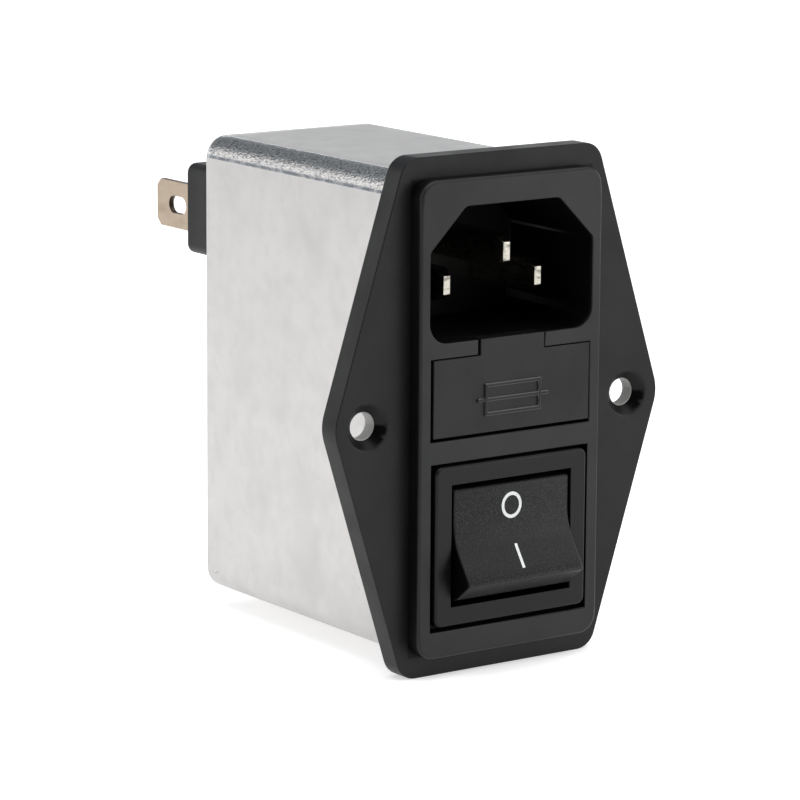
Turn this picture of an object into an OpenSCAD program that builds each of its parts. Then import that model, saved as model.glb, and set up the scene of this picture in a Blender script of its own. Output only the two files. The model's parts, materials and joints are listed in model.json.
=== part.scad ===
// Panel inlet with mains filter: a moulded front with a three-pin inlet socket, a fuse drawer
// and a two-pole rocker switch, backed by a sheet-metal can that holds the filter board.
// Frame: X to the right and Z up seen from the front, Y into the panel. The origin is midway
// between the two screw holes, on the flange's rear face.

/* [Flange] */
// Distance between the two screw holes
screw_span = 40; // [38:0.5:46]
// Diameter of a screw hole
screw_d = 3.4; // [3:0.1:3.8]
// Diameter of the countersink at the front face
countersink_d = 6.2; // [5.6:0.1:7]
// Flange left over beyond each screw hole
screw_margin = 5; // [4.5:0.1:6]
// Thickness of the flange
flange_t = 3.1; // [2.4:0.1:3.6]
// Radius of the four outer corners
flange_corner_r = 2.8; // [1:0.1:4]
// Radius of the two side points
flange_apex_r = 5.5; // [1:0.5:8]
// Flange seen above and below the raised panel
flange_lap = 2.7; // [2:0.1:5]
// Extra width of the flange's straight top edge over the body
flange_shoulder = 1.45; // [1:0.05:3]

/* [Raised panel] */
// Height of the panel above the flange
panel_rise = 2.2; // [1.6:0.1:3]
// Corner radius of the panel
panel_r = 2.4; // [1:0.1:4]
// Overhang of the panel over the body behind it, at each side
panel_lap = 0.55; // [0.3:0.05:1]
// Overhang of the panel over the body, above and below
panel_end_lap = 0.35; // [0.2:0.05:1]

/* [Inlet socket] */
// Width of the socket opening
inlet_w = 24.8; // [24:0.1:26]
// Height of the socket opening
inlet_h = 16.6; // [16:0.1:18]
// Bevel across the two upper corners
inlet_bevel = 5.3; // [4.5:0.1:6]
// Radius of the two lower corners
inlet_corner_r = 2.6; // [1:0.1:4]
// Depth of the socket from the panel face
inlet_depth = 17; // [16:0.1:18]
// Wall of the body beside the socket
inlet_wall = 0.9; // [0.8:0.05:1.6]
// Thickness of the socket floor
inlet_floor = 1.6; // [1.2:0.1:2.4]
// Distance between the two outer pins
pin_span = 14; // [13.6:0.1:14.4]
// Height of the earth pin above the outer pins
earth_rise = 4; // [3.8:0.1:4.2]
// Thickness of a pin across the socket
pin_t = 2; // [1.9:0.05:2.1]
// Height of a pin's section
pin_h = 4; // [3.8:0.1:4.2]
// How far the outer pins' tips lie behind the panel face
pin_recess = 4.1; // [3.5:0.1:5]
// How far the earth pin's tip lies behind the panel face
earth_recess = 1.3; // [1:0.1:2]
// Length of a pin's tapered tip
pin_taper = 1.6; // [1:0.1:2.5]

/* [Fuse drawer] */
// Length of the cartridge fuse
fuse_l = 20; // [19.5:0.1:20.5]
// Diameter of the fuse caps
fuse_d = 5.2; // [5:0.1:5.4]
// Length of a fuse cap
fuse_cap_l = 5; // [4:0.1:6]
// Height of the drawer front's pocket
pocket_h = 10.22; // [9.5:0.01:11]
// Depth of the drawer front's pocket
pocket_depth = 2.3; // [2:0.1:3]
// Wall of the body beside the pocket
pocket_wall = 1.1; // [1:0.05:1.6]
// Width of the finger tab on the drawer
finger_w = 9.75; // [7:0.05:12]
// Thickness of the drawer front
drawer_face_t = 2; // [1.6:0.1:2.2]
// End wall of the fuse tray
tray_wall = 0.9; // [0.8:0.1:1.1]
// Running clearance of the fuse tray in the housing
drawer_gap = 0.3; // [0.25:0.05:0.4]
// Gap around the drawer front in its pocket
face_gap = 0.24; // [0.2:0.02:0.3]
// How far the closed drawer front sits to the right and up in its pocket
face_play = 0.14; // [0:0.02:0.16]
// Height of the raised fuse symbol
symbol_rise = 0.25; // [0.15:0.05:0.3]
// Thickness of a fuse clip's spring strip
clip_t = 0.4; // [0.3:0.05:0.6]
// Width of a fuse clip
clip_w = 3.2; // [2.4:0.1:3.6]

/* [Rocker switch] */
// Width of the rocker
rocker_w = 17.8; // [16:0.1:18.4]
// Half height of the rocker face, lip to centre
rocker_lip_h = 6; // [5.5:0.1:6.4]
// Height of the lips above the pivot
rocker_lip_out = 4.3; // [4:0.1:4.8]
// Swing of the rocker to each side of its middle
rocker_tilt = 17; // [12:1:20]
// Slope of each half of the dished face
rocker_dish = 17; // [10:1:20]
// Distance of the pivot behind the bezel face
pivot_depth = 2.45; // [2.2:0.05:3]
// Diameter of the pivot stubs
pivot_d = 2.6; // [2:0.1:3]
// Clearance around the rocker
rocker_gap = 0.3; // [0.25:0.05:0.4]
// Width of the bezel frame above and below the window
bezel_frame = 2.4; // [2:0.1:3]
// Height of the bezel above the panel face
bezel_rise = 0.4; // [0.2:0.1:0.8]
// Depth of the switch recess in the panel
recess_depth = 1.7; // [1.4:0.1:2]
// Gap between bezel and recess at each side
recess_gap = 0.45; // [0.3:0.05:0.6]
// Wall of the body beside the recess
recess_wall = 1.25; // [1:0.05:1.8]
// Wall of the switch body
switch_wall = 1.4; // [1.2:0.1:1.8]
// How high the switch sits off the middle of its recess
switch_lift = 0.15; // [0:0.05:0.2]
// Depth of the switch body behind the flange
switch_l = 12; // [10:0.5:14]
// Length of a switch terminal behind the switch
terminal_l = 6.5; // [5:0.5:8]

/* [Housing] */
// Wall of the skirt inside the can
skirt_wall = 1.4; // [1.2:0.1:2]
// Length of the skirt behind the flange
skirt_l = 9; // [6:0.5:11]
// Solid margin above the socket and below the switch
end_margin = 3.07; // [2.6:0.01:4]
// Bar between the socket and the drawer
upper_bar = 1.9; // [1.6:0.1:2.6]
// Bar between the drawer and the switch
lower_bar = 2.89; // [2.6:0.01:4]

/* [Can] */
// Depth of the can behind the flange
can_l = 42.5; // [40:0.1:60]
// Sheet thickness
can_t = 0.6; // [0.4:0.1:0.8]
// Outer radius of the four long bends
can_r = 3; // [2:0.1:4]
// Fit between the can and the housing inside it
can_fit = 0.15; // [0.1:0.05:0.3]
// Depth of the flange's groove that takes the can's front edge
can_seat = 0.3; // [0.2:0.1:0.6]
// Depth of the rear cover's folded rim
rim_l = 6; // [4:0.5:8]

/* [Rear terminals] */
// Distance of each outer terminal from the can's side
tab_inset = 4.25; // [4.15:0.05:5.5]
// Distance of the insulators' middle below the can's top
boss_drop = 10.55; // [10.1:0.05:22]
// Drop of the tabs below the insulators' middle
tab_drop = 0.4; // [0:0.1:1]
// Width of an insulator
boss_w = 4.4; // [3.6:0.1:4.8]
// Height of an insulator
boss_h = 12; // [9:0.1:13]
// Corner radius of an insulator
boss_r = 1.3; // [0.6:0.1:1.7]
// How far an insulator stands out of the can
boss_l = 7.9; // [5:0.1:9]
// Length of a tab beyond its insulator
tab_l = 10.4; // [8:0.1:12]
// Width of a blade
tab_h = 6.3; // [4.8:0.1:6.3]
// Thickness of a blade
tab_t = 0.8; // [0.5:0.1:0.8]
// Distance of the earth tab below the insulators' middle
earth_drop = 15.6; // [14:0.1:22]
// Length of the earth tab behind the can
earth_l = 10; // [8.6:0.1:12]

/* [Filter board] */
// Thickness of the circuit board
board_t = 1.6; // [1:0.1:2]
// Height of the insulators' shoulders, between the board and the rear cover
shoulder_l = 4.1; // [3:0.1:5]
// Outer diameter of the choke core
core_od = 16; // [14:0.5:17]
// Inner diameter of the choke core
core_id = 9; // [8:0.5:9.5]
// Thickness of the choke core
core_t = 6.5; // [5:0.5:7.5]
// Turns of each choke winding
choke_turns = 9; // [5:1:10]
// Diameter of the choke wire
choke_wire = 0.8; // [0.5:0.1:1]
// Diameter of the insulated leads
lead_d = 1.6; // [1.2:0.1:1.8]

/* [Hidden] */

$fn = 48;
arc_steps = 8;
lead_steps = 4;
lead_sides = 8;
bite = 1;            // how far a cut runs past the face it opens
touch = 0.1;         // slack of a metal part in its slot
sliver = 0.01;       // shortest overlap of two joined shapes

black = "#1e1e20";
nickel = "#cfc8bf";
zinc = "#c8ccce";
yellow = "#d9b23a";
brown = "#4b3a2c";
blue = "#3a5f93";

// Housing width: the socket with its walls sets it
body_w = inlet_w + 2 * inlet_wall;

// Switch, worked out from the rocker and the body
rocker_flank_out = 1;
rocker_flank_h = rocker_lip_h * 1.2167;
rocker_reach = max(norm([rocker_flank_out, rocker_flank_h]), norm([rocker_lip_out, rocker_lip_h]));
window_w = rocker_w + 2 * rocker_gap;
window_h = 2 * (rocker_reach + rocker_gap);
switch_body_w = window_w + 2 * switch_wall;
switch_body_h = window_h + 2 * switch_wall;
switch_fit = max(0.25, switch_lift + touch);
bezel_lap = 0.4;     // least cover of the bezel over the switch body
bezel_w = max(switch_body_w + 2 * bezel_lap, body_w - 2 * (recess_wall + recess_gap));
bezel_h = window_h + 2 * bezel_frame;
recess_w = bezel_w + 2 * recess_gap;
recess_h = bezel_h + 2 * max(recess_gap, switch_lift + touch);
bezel_r = 1;
heel_l = 2.5;        // depth of the rocker's heels behind its pivot
horn_l = 6;          // depth of the horn that drives the contacts
stub_l = 1;          // how far a pivot stub stands out of the window
pivot_gap = 0.08;
snap_rise = 0.8;     // height of the wedges that hold the switch in the flange
snap_l = 4;
terminal_h = 4.8;
terminal_root = 4.5;
terminal_hole_d = 1.4;
terminal_x = 5.5;
terminal_z = 4.6;
switch_tail_y = switch_l + terminal_l;

// Drawer, worked out from the fuse and the body
fuse_slack = 0.2;
fuse_wire_d = 0.4;
fuse_glass_t = 0.5;
fuse_cap_t = 0.15;
fuse_cap_end = 0.4;
fuse_cap_fit = 0.05;
tray_head = 1.3;     // room in the tray above and below the working fuse
tray_w = fuse_l + 2 * (fuse_slack + tray_wall);
tray_h = fuse_d + 2 * tray_head;
chute_w = tray_w + 2 * drawer_gap;
chute_h = tray_h + 2 * drawer_gap;
pocket_lap = 0.2;    // least cover of the drawer front over the chute
pocket_w = max(chute_w + 2 * pocket_lap, body_w - 2 * pocket_wall);
pocket_front_h = max(pocket_h, chute_h + 4 * pocket_lap);

// Housing height: the stack of its three openings sets it
body_h = 2 * end_margin + inlet_h + upper_bar + pocket_front_h + lower_bar + recess_h;
body_r = can_r - can_t - can_fit;
inlet_top = body_h / 2 - end_margin;
inlet_z = inlet_top - inlet_h / 2;
pocket_z = inlet_top - inlet_h - upper_bar - pocket_front_h / 2;
recess_z = -body_h / 2 + end_margin + recess_h / 2;
switch_z = recess_z + switch_lift;
panel_w = body_w + 2 * panel_lap;
panel_h = body_h + 2 * panel_end_lap;
flange_w = screw_span + 2 * screw_margin;
flange_h = panel_h + 2 * flange_lap;
flange_top_w = body_w + 2 * flange_shoulder;
can_w = body_w + 2 * (can_fit + can_t);
can_h = body_h + 2 * (can_fit + can_t);

// Depths
face_y = -flange_t - panel_rise;
inlet_floor_y = face_y + inlet_depth;
recess_y = face_y + recess_depth;
bezel_y = face_y - bezel_rise;
pivot_y = bezel_y + pivot_depth;
cavity_y = pivot_y + horn_l + 1;
pin_z = inlet_z - earth_rise / 2;
pin_root = 0.6;      // length of a pin's full section behind the socket floor
pin_tail = 4.5;
pin_root_y = inlet_floor_y + inlet_floor + pin_root;
pin_tail_y = pin_root_y + pin_tail;

// Fuse tray: the spare lies in front, the working fuse behind it between the clips
tray_y = face_y + drawer_face_t;
tray_front = 3.6;    // solid behind the drawer front
tray_bar = 1.7;      // bar between the two fuses
tray_back = 0.3;     // how far the tray reaches behind the working fuse
spare_y = tray_y + tray_front + fuse_d / 2 + fuse_slack;
active_y = spare_y + fuse_d + tray_bar;
tray_end = active_y + fuse_d / 2 + tray_back;
active_z = pocket_z;
spare_z = pocket_z - tray_h / 2 + tray_wall + fuse_d / 2;
saddle_w = fuse_l - 2 * (fuse_cap_l - fuse_slack);
chute_end = tray_end + 2.3;
chute_wall = 1.5;
clip_x = fuse_l / 2 - fuse_cap_l / 2;
clip_out = fuse_d / 2 + touch * 3;
clip_flare = 0.4;    // how far a clip's legs open in front
clip_tail = 4;
clip_tail_y = chute_end + chute_wall + clip_tail;

// Rear of the can
cover_y = can_l - can_t;
board_y = cover_y - shoulder_l - board_t;
board_back = board_y + board_t;
cover_w = can_w - 2 * can_t - touch;
cover_h = can_h - 2 * can_t - touch;
board_gap = 0.25;    // gap between the board and the cover's rim
board_w = cover_w - 2 * (can_t + board_gap);
board_h = cover_h - 2 * (can_t + board_gap);
board_leg_h = 3;     // height of a blade's leg through the board
board_leg_l = 1.2;
tab_x = can_w / 2 - tab_inset;
boss_z = can_h / 2 - boss_drop;
tab_z = boss_z - tab_drop;
earth_z = boss_z - earth_drop;
earth_foot_w = 8;
shoulder_rim = 0.8;  // how far a shoulder stands out above and below its insulator
shoulder_w = min(boss_w + 1.5 * shoulder_rim, 2 * (cover_w / 2 - can_t - tab_x) - touch);
eye_h = 2.3;         // eye of a blade, and the distance of its middle from the tip
eye_l = 4.2;
eye_back = 5.1;
blade_bevel = 0.9;
boss_end = can_l + boss_l;
tab_end = boss_end + tab_l;

// Board layout, as [x, z] places on its front face
part_gap = 1.5;      // least gap of a large part to the board's edge or its neighbour
choke_z = -6;
choke_base_t = 1.2;
choke_gap = choke_wire + 0.2;
choke_mid_y = board_y - choke_base_t - choke_gap - core_t / 2;
choke_leg_x = core_od * 0.32;
choke_leg_z = core_od / 2 + 1.2;
choke_span = 128;
line_cap_size = [17.5, 12, 6];
line_cap_pitch = 15;
line_cap_z = -board_h / 2 + line_cap_size.z / 2 + part_gap;
load_cap_size = [13, 9, 5];
load_cap_pitch = 10;
load_cap_z = board_h / 2 - load_cap_size.z / 2 - part_gap;
earth_cap_z = 9;
earth_cap_x = 6;
earth_cap_d = 7.5;
earth_cap_t = 3.4;
earth_cap_pitch = 5;
resistor_l = 6.4;
resistor_d = 2;
resistor_end_d = 2.5;
resistor_end_l = 1.6;
resistor_pitch = 12.5;
resistor_z = load_cap_z - (load_cap_size.z + resistor_end_d + part_gap) / 2 - part_gap;
leg_d = 0.7;
leg_hole = leg_d + 2 * touch;
leg_end = board_back + 1;
choke_legs = [for (x = [-1, 1], z = [-1, 1]) [x * choke_leg_x, choke_z + z * choke_leg_z]];
board_lead_x = board_w / 2 - 1.3 * part_gap;
board_leads = [for (s = [-1, 1]) [s * board_lead_x, choke_z - choke_leg_z - 2 * part_gap]];
leg_holes = concat(
    leg_pair(line_cap_pitch, line_cap_z),
    leg_pair(load_cap_pitch, load_cap_z),
    leg_pair(earth_cap_pitch, earth_cap_z, -earth_cap_x),
    leg_pair(earth_cap_pitch, earth_cap_z, earth_cap_x),
    leg_pair(resistor_pitch, resistor_z),
    choke_legs
);

// Places of two legs about x, at the height z
function leg_pair(pitch, z, x = 0) = [for (s = [-1, 1]) [x + s * pitch / 2, z]];

// Turns a corner of an outline into an arc of radius r
function unit(v) = v / norm(v);
function corner_arc(before, corner, after, r) =
    let (
        u = unit(before - corner),
        v = unit(after - corner),
        half = acos(u * v) / 2,
        centre = corner + unit(u + v) * r / sin(half),
        start = corner + u * r / tan(half) - centre,
        end = corner + v * r / tan(half) - centre,
        a0 = atan2(start.y, start.x),
        raw = atan2(end.y, end.x) - a0,
        sweep = raw > 180 ? raw - 360 : raw < -180 ? raw + 360 : raw
    )
    r == 0 ? [corner] : [
        for (i = [0:arc_steps])
            let (a = a0 + sweep * i / arc_steps)
            centre + r * [cos(a), sin(a)]
    ];
function rounded(points, radii) = [
    for (i = [0:len(points) - 1])
        each corner_arc(
            points[(i + len(points) - 1) % len(points)],
            points[i],
            points[(i + 1) % len(points)],
            radii[i]
        )
];
function box_points(w, h) = [[-w / 2, -h / 2], [w / 2, -h / 2], [w / 2, h / 2], [-w / 2, h / 2]];

module rounded_box(w, h, r) polygon(rounded(box_points(w, h), [r, r, r, r]));

// Extrudes a front-view outline from depth y0 to depth y1
module slab(y0, y1) translate([0, y1, 0]) rotate([90, 0, 0]) linear_extrude(y1 - y0) children();

// Extrudes a side-view outline, drawn as [depth, height], over the width w about the middle
module side_slab(w) translate([-w / 2, 0, 0]) rotate([90, 0, 90]) linear_extrude(w) children();

// A round rod between two points
module rod(a, b, d) {
    run = b - a;
    length = norm(run);
    translate(a)
        rotate([0, acos(run.z / length), atan2(run.y, run.x)])
            cylinder(h = length, d = d, $fn = 16);
}

// An insulated lead: a round tube swept along a smooth curve that starts at the first point,
// ends at the last and is drawn towards those between. No stretch of it runs along X.
function bend(a, b, c) = [
    for (i = [1:lead_steps])
        let (t = i / lead_steps)
        (1 - t) * (1 - t) * a + 2 * t * (1 - t) * b + t * t * c
];
function smooth(p) = concat(
    [p[0]],
    [for (i = [1:len(p) - 2])
        each bend(
            i == 1 ? p[0] : (p[i - 1] + p[i]) / 2,
            p[i],
            i == len(p) - 2 ? p[i + 1] : (p[i] + p[i + 1]) / 2
        )]
);

module lead(points) {
    path = smooth(points);
    last = len(path) - 1;
    rings = [
        for (i = [0:last])
            let (
                along = i == 0 ? unit(points[1] - points[0])
                    : i == last ? unit(points[len(points) - 1] - points[len(points) - 2])
                    : unit(path[i + 1] - path[i - 1]),
                side = unit(cross(along, [1, 0, 0])),
                up = cross(along, side)
            )
            for (k = [0:lead_sides - 1])
                path[i] + lead_d / 2 * (cos(360 * k / lead_sides) * side + sin(360 * k / lead_sides) * up)
    ];
    skin = [
        for (i = [0:last - 1], k = [0:lead_sides - 1])
            let (m = (k + 1) % lead_sides)
            [i * lead_sides + k, (i + 1) * lead_sides + k, (i + 1) * lead_sides + m, i * lead_sides + m]
    ];
    near_end = [for (k = [0:lead_sides - 1]) k];
    far_end = [for (k = [lead_sides - 1:-1:0]) last * lead_sides + k];
    polyhedron(rings, concat(skin, [near_end, far_end]), convexity = 6);
}

// ---------------------------------------------------------------- housing

module flange_outline() {
    w = flange_w / 2;
    t = flange_top_w / 2;
    h = flange_h / 2;
    c = flange_corner_r;
    polygon(rounded(
        [[-t, -h], [t, -h], [w, 0], [t, h], [-t, h], [-w, 0]],
        [c, c, flange_apex_r, c, c, flange_apex_r]
    ));
}

module inlet_outline() {
    w = inlet_w / 2;
    low = inlet_z - inlet_h / 2;
    top = inlet_top;
    r = inlet_corner_r;
    shoulder = top - inlet_bevel;
    polygon(rounded(
        [[-w, low], [w, low], [w, shoulder], [w - inlet_bevel, top], [inlet_bevel - w, top], [-w, shoulder]],
        [r, r, 1, 1, 1, 1]
    ));
}

module screw_hole(x) translate([x, 0, 0]) rotate([90, 0, 0]) {
    translate([0, 0, -bite]) cylinder(h = flange_t + 2 * bite, d = screw_d);
    sink = (countersink_d - screw_d) / 2;
    translate([0, 0, flange_t - sink])
        cylinder(h = sink + sliver, d1 = screw_d, d2 = countersink_d + 2 * sliver);
}

module pin_slot(x, z, y0, y1, w, h) translate([x, 0, z]) slab(y0, y1) square([w, h], center = true);

// Groove in the flange's rear face, around the body
module can_groove() slab(-can_seat, bite) difference() {
    rounded_box(can_w + touch, can_h + touch, can_r);
    rounded_box(body_w, body_h, body_r);
}

module front_housing() color(black) difference() {
    shroud_h = inlet_h + 2 * inlet_floor - 1;
    shroud_z = inlet_z - 0.4;
    union() {
        difference() {
            slab(-flange_t, 0) flange_outline();
            can_groove();
        }
        slab(face_y, -flange_t / 2) rounded_box(panel_w, panel_h, panel_r);
        slab(-flange_t / 2, skirt_l) rounded_box(body_w, body_h, body_r);
        // socket shroud
        slab(-flange_t / 2, inlet_floor_y + inlet_floor)
            translate([0, shroud_z])
                square([body_w, shroud_h], center = true);
        // drawer chute
        slab(-flange_t / 2, chute_end + chute_wall)
            translate([0, pocket_z])
                square([body_w, chute_h + 2 * skirt_wall], center = true);
    }
    // hollow between the skirt's walls, below the drawer chute
    hollow_top = pocket_z - chute_h / 2 - skirt_wall;
    hollow_low = -body_h / 2 + skirt_wall;
    slab(0, skirt_l + bite)
        translate([0, (hollow_top + hollow_low) / 2])
            square([body_w - 2 * skirt_wall, hollow_top - hollow_low], center = true);
    // socket
    slab(face_y - bite, inlet_floor_y) inlet_outline();
    for (p = [[-pin_span / 2, pin_z], [pin_span / 2, pin_z], [0, pin_z + earth_rise]])
        pin_slot(p.x, p.y, inlet_floor_y - bite, pin_root_y + bite, pin_t + touch, pin_h + touch);
    // drawer
    slab(face_y - bite, face_y + pocket_depth) translate([0, pocket_z]) square([pocket_w, pocket_front_h], center = true);
    slab(face_y, chute_end) translate([0, pocket_z]) square([chute_w, chute_h], center = true);
    slab(face_y - bite, face_y + pocket_depth)
        translate([0, pocket_z + pocket_front_h / 2])
            square([finger_w + 2 * face_gap, 2 * upper_bar + bite], center = true);
    for (s = [-1, 1])
        pin_slot(s * clip_x, pocket_z, chute_end - bite, chute_end + chute_wall + bite, clip_w + touch, clip_t + touch);
    // switch
    slab(face_y - bite, recess_y) translate([0, recess_z]) square([recess_w, recess_h], center = true);
    slab(recess_y - bite, bite)
        translate([0, switch_z])
            square([switch_body_w + 2 * touch, switch_body_h + 2 * switch_fit], center = true);
    for (s = [-1, 1]) screw_hole(s * screw_span / 2);
}

// A flat pin with a tapered tip in front and a narrow solder tail behind the socket floor
module inlet_pin(x, z, tip_y) {
    section = [pin_t, pin_h];
    tip = [pin_t * 0.5, pin_h * 0.58];
    tail = [pin_t * 0.45, pin_h * 0.7];
    color(nickel) translate([x, 0, z]) {
        slab(tip_y + pin_taper, pin_root_y) square(section, center = true);
        hull() {
            slab(tip_y + pin_taper, tip_y + pin_taper + sliver) square(section, center = true);
            slab(tip_y, tip_y + sliver) square(tip, center = true);
        }
        slab(pin_root_y - sliver, pin_tail_y) square(tail, center = true);
    }
}

module left_pin() inlet_pin(-pin_span / 2, pin_z, face_y + pin_recess);
module right_pin() inlet_pin(pin_span / 2, pin_z, face_y + pin_recess);
module earth_pin() inlet_pin(0, pin_z + earth_rise, face_y + earth_recess);

// ---------------------------------------------------------------- fuse drawer

// Outline of a fuse in a box with a line through it, the sign for a fuse
module fuse_symbol() {
    box = [8.7, 4.1];
    line = 0.52;
    line_out = 0.9;
    drop = 0.75;
    translate([0, -drop]) {
        difference() {
            square(box, center = true);
            square(box - 2 * [line, line], center = true);
        }
        square([box.x + 2 * line_out, line], center = true);
        for (s = [-1, 1]) translate([s * (box.x / 2 + line_out), 0]) circle(d = line);
    }
}

module fuse_drawer() color(black) {
    face_w = pocket_w - 2 * face_gap;
    face_h = pocket_front_h - 2 * face_gap;
    difference() {
        union() {
            slab(face_y, tray_y)
                translate([face_play, pocket_z + face_play])
                    square([face_w, face_h], center = true);
            // finger tab up to the socket's lower edge
            slab(face_y, tray_y)
                translate([face_play - finger_w / 2, pocket_z])
                    square([finger_w, pocket_front_h / 2 + upper_bar]);
            slab(face_y - symbol_rise, tray_y)
                translate([face_play, pocket_z + face_play])
                    fuse_symbol();
            slab(face_y + bite, tray_end) translate([0, pocket_z]) square([tray_w, tray_h], center = true);
        }
        // trough of the spare fuse, open at the top
        trough_w = fuse_l + 2 * fuse_slack;
        trough_h = tray_h + bite - tray_wall;
        translate([-trough_w / 2, spare_y - fuse_d / 2 - fuse_slack, pocket_z - tray_h / 2 + tray_wall])
            cube([trough_w, fuse_d + 2 * fuse_slack, trough_h]);
        // bed of the working fuse: a round saddle under the glass, open at the top
        bed_r = fuse_d / 2 + fuse_slack;
        translate([-trough_w / 2, active_y, active_z]) rotate([0, 90, 0]) cylinder(h = trough_w, r = bed_r);
        translate([-trough_w / 2, active_y - bed_r, active_z]) cube([trough_w, 2 * bed_r, tray_h]);
        // windows that let the clips reach the caps
        for (s = [-1, 1])
            translate([s * (saddle_w + trough_w) / 4, tray_end, pocket_z])
                cube([(trough_w - saddle_w) / 2, 2 * (tray_end - active_y + bed_r), tray_h + 2 * bite], center = true);
    }
}

// Glass tube of a cartridge fuse along X
module fuse_glass(y, z) color("#cfe0e4", 0.6) translate([0, y, z]) rotate([0, 90, 0]) difference() {
    glass_d = fuse_d - 2 * (fuse_cap_t + fuse_cap_fit);
    cylinder(h = fuse_l - 2 * fuse_glass_t, d = glass_d, center = true);
    cylinder(h = fuse_l, d = glass_d - 2 * fuse_glass_t, center = true);
}

// The two caps of a cartridge fuse, joined by its wire
module fuse_caps(y, z) color(nickel) translate([0, y, z]) rotate([0, 90, 0]) {
    for (s = [-1, 1]) mirror([0, 0, s > 0 ? 0 : 1]) difference() {
        translate([0, 0, fuse_l / 2 - fuse_cap_l]) cylinder(h = fuse_cap_l, d = fuse_d);
        translate([0, 0, fuse_l / 2 - fuse_cap_l - bite])
            cylinder(h = fuse_cap_l + bite - fuse_cap_end, d = fuse_d - 2 * fuse_cap_t);
    }
    cylinder(h = fuse_l - 1.5 * fuse_cap_end, d = fuse_wire_d, center = true, $fn = 16);
}

module active_fuse_glass() fuse_glass(active_y, active_z);
module active_fuse_caps() fuse_caps(active_y, active_z);
module spare_fuse_glass() fuse_glass(spare_y, spare_z);
module spare_fuse_caps() fuse_caps(spare_y, spare_z);

// Spring clip whose two legs close on a fuse cap; its tail runs out through the chute's rear wall
module fuse_clip(side) color(nickel) translate([side * clip_x, 0, active_z]) {
    reach = clip_out + clip_t;
    back = chute_end - clip_t;
    front = active_y - fuse_d * 0.35;
    side_slab(clip_w) for (s = [-1, 1]) polygon([
        [front, s * (clip_out + clip_flare)],
        [active_y, s * clip_out],
        [chute_end, s * clip_out],
        [chute_end, s * reach],
        [active_y, s * reach],
        [front, s * (reach + clip_flare)]
    ]);
    slab(back, chute_end) square([clip_w, 2 * reach], center = true);
    slab(back, clip_tail_y) square([clip_w, clip_t], center = true);
}

module fuse_clip_left() fuse_clip(-1);
module fuse_clip_right() fuse_clip(1);

// ---------------------------------------------------------------- rocker switch

module switch_body() color(black) translate([0, 0, switch_z]) difference() {
    side_h = switch_body_h / 2;
    union() {
        slab(bezel_y, recess_y) rounded_box(bezel_w, bezel_h, bezel_r);
        slab(recess_y - touch, switch_l) square([switch_body_w, switch_body_h], center = true);
        // snap wedges that hold the switch behind the flange
        for (s = [-1, 1]) side_slab(switch_body_w / 2) polygon([
            [touch, s * (side_h - touch)],
            [touch, s * (side_h + snap_rise)],
            [snap_l, s * side_h],
            [snap_l, s * (side_h - touch)]
        ]);
    }
    slab(bezel_y - bite, cavity_y) square([window_w, window_h], center = true);
    // bores for the pivot stubs
    bore_l = window_w + 2 * (stub_l + touch);
    translate([-bore_l / 2, pivot_y, 0])
        rotate([0, 90, 0])
            cylinder(h = bore_l, d = pivot_d + 2 * pivot_gap);
    for (x = [-1, 1], z = [-1, 1])
        translate([x * terminal_x, 0, z * terminal_z])
            slab(switch_l - terminal_root, switch_l + bite)
                square([tab_t + touch, terminal_h + touch], center = true);
}

// Concave face between two rounded lips, sloped flanks, and a horn that drives the contacts
module rocker_profile() {
    dish_r = 7;
    lip_r = 0.3;
    heel_r = 0.4;
    lip = [-rocker_lip_out, rocker_lip_h];
    dip = [lip.x + rocker_lip_h * tan(rocker_dish), 0];
    flank = [-rocker_flank_out, rocker_flank_h];
    heel = [heel_l, rocker_flank_h * 0.86];
    waist = [heel_l, horn_l / 2];
    horn = [horn_l, horn_l / 4];
    upper = [lip, flank, heel, waist, horn];
    lower = [for (i = [4:-1:0]) [upper[i].x, -upper[i].y]];
    polygon(rounded(
        concat([dip], upper, lower),
        [dish_r, lip_r, heel_r, 0, 0, heel_r, heel_r, 0, 0, heel_r, lip_r]
    ));
}

module rocker() color(black) translate([0, pivot_y, switch_z]) rotate([-rocker_tilt, 0, 0]) {
    side_slab(rocker_w) rocker_profile();
    axle_l = window_w + 2 * stub_l;
    translate([-axle_l / 2, 0, 0]) rotate([0, 90, 0]) cylinder(h = axle_l, d = pivot_d);
}

module switch_terminal(side, row) color(nickel)
    translate([side * terminal_x, 0, switch_z + row * terminal_z]) difference() {
        slab(switch_l - terminal_root, switch_tail_y) square([tab_t, terminal_h], center = true);
        translate([-tab_t, switch_tail_y - 1.5 * terminal_hole_d, 0])
            rotate([0, 90, 0])
                cylinder(h = 2 * tab_t, d = terminal_hole_d);
    }

module switch_terminal_in_left() switch_terminal(-1, 1);
module switch_terminal_in_right() switch_terminal(1, 1);
module switch_terminal_out_left() switch_terminal(-1, -1);
module switch_terminal_out_right() switch_terminal(1, -1);

// ---------------------------------------------------------------- can and rear terminals

module can_sleeve() color(zinc) difference() {
    slab(-can_seat, can_l) rounded_box(can_w, can_h, can_r);
    slab(-bite, can_l + bite) rounded_box(can_w - 2 * can_t, can_h - 2 * can_t, can_r - can_t);
}

// Folded cover whose rim stands inside the sleeve
module rear_cover() color(zinc) {
    r = can_r - can_t - touch / 2;
    difference() {
        slab(can_l - rim_l, can_l) rounded_box(cover_w, cover_h, r);
        slab(can_l - rim_l - bite, cover_y) rounded_box(cover_w - 2 * can_t, cover_h - 2 * can_t, r - can_t);
        for (s = [-1, 1])
            translate([s * tab_x, 0, boss_z])
                slab(cover_y - bite, can_l + bite) rounded_box(boss_w + touch, boss_h + touch, boss_r + touch / 2);
    }
}

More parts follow.
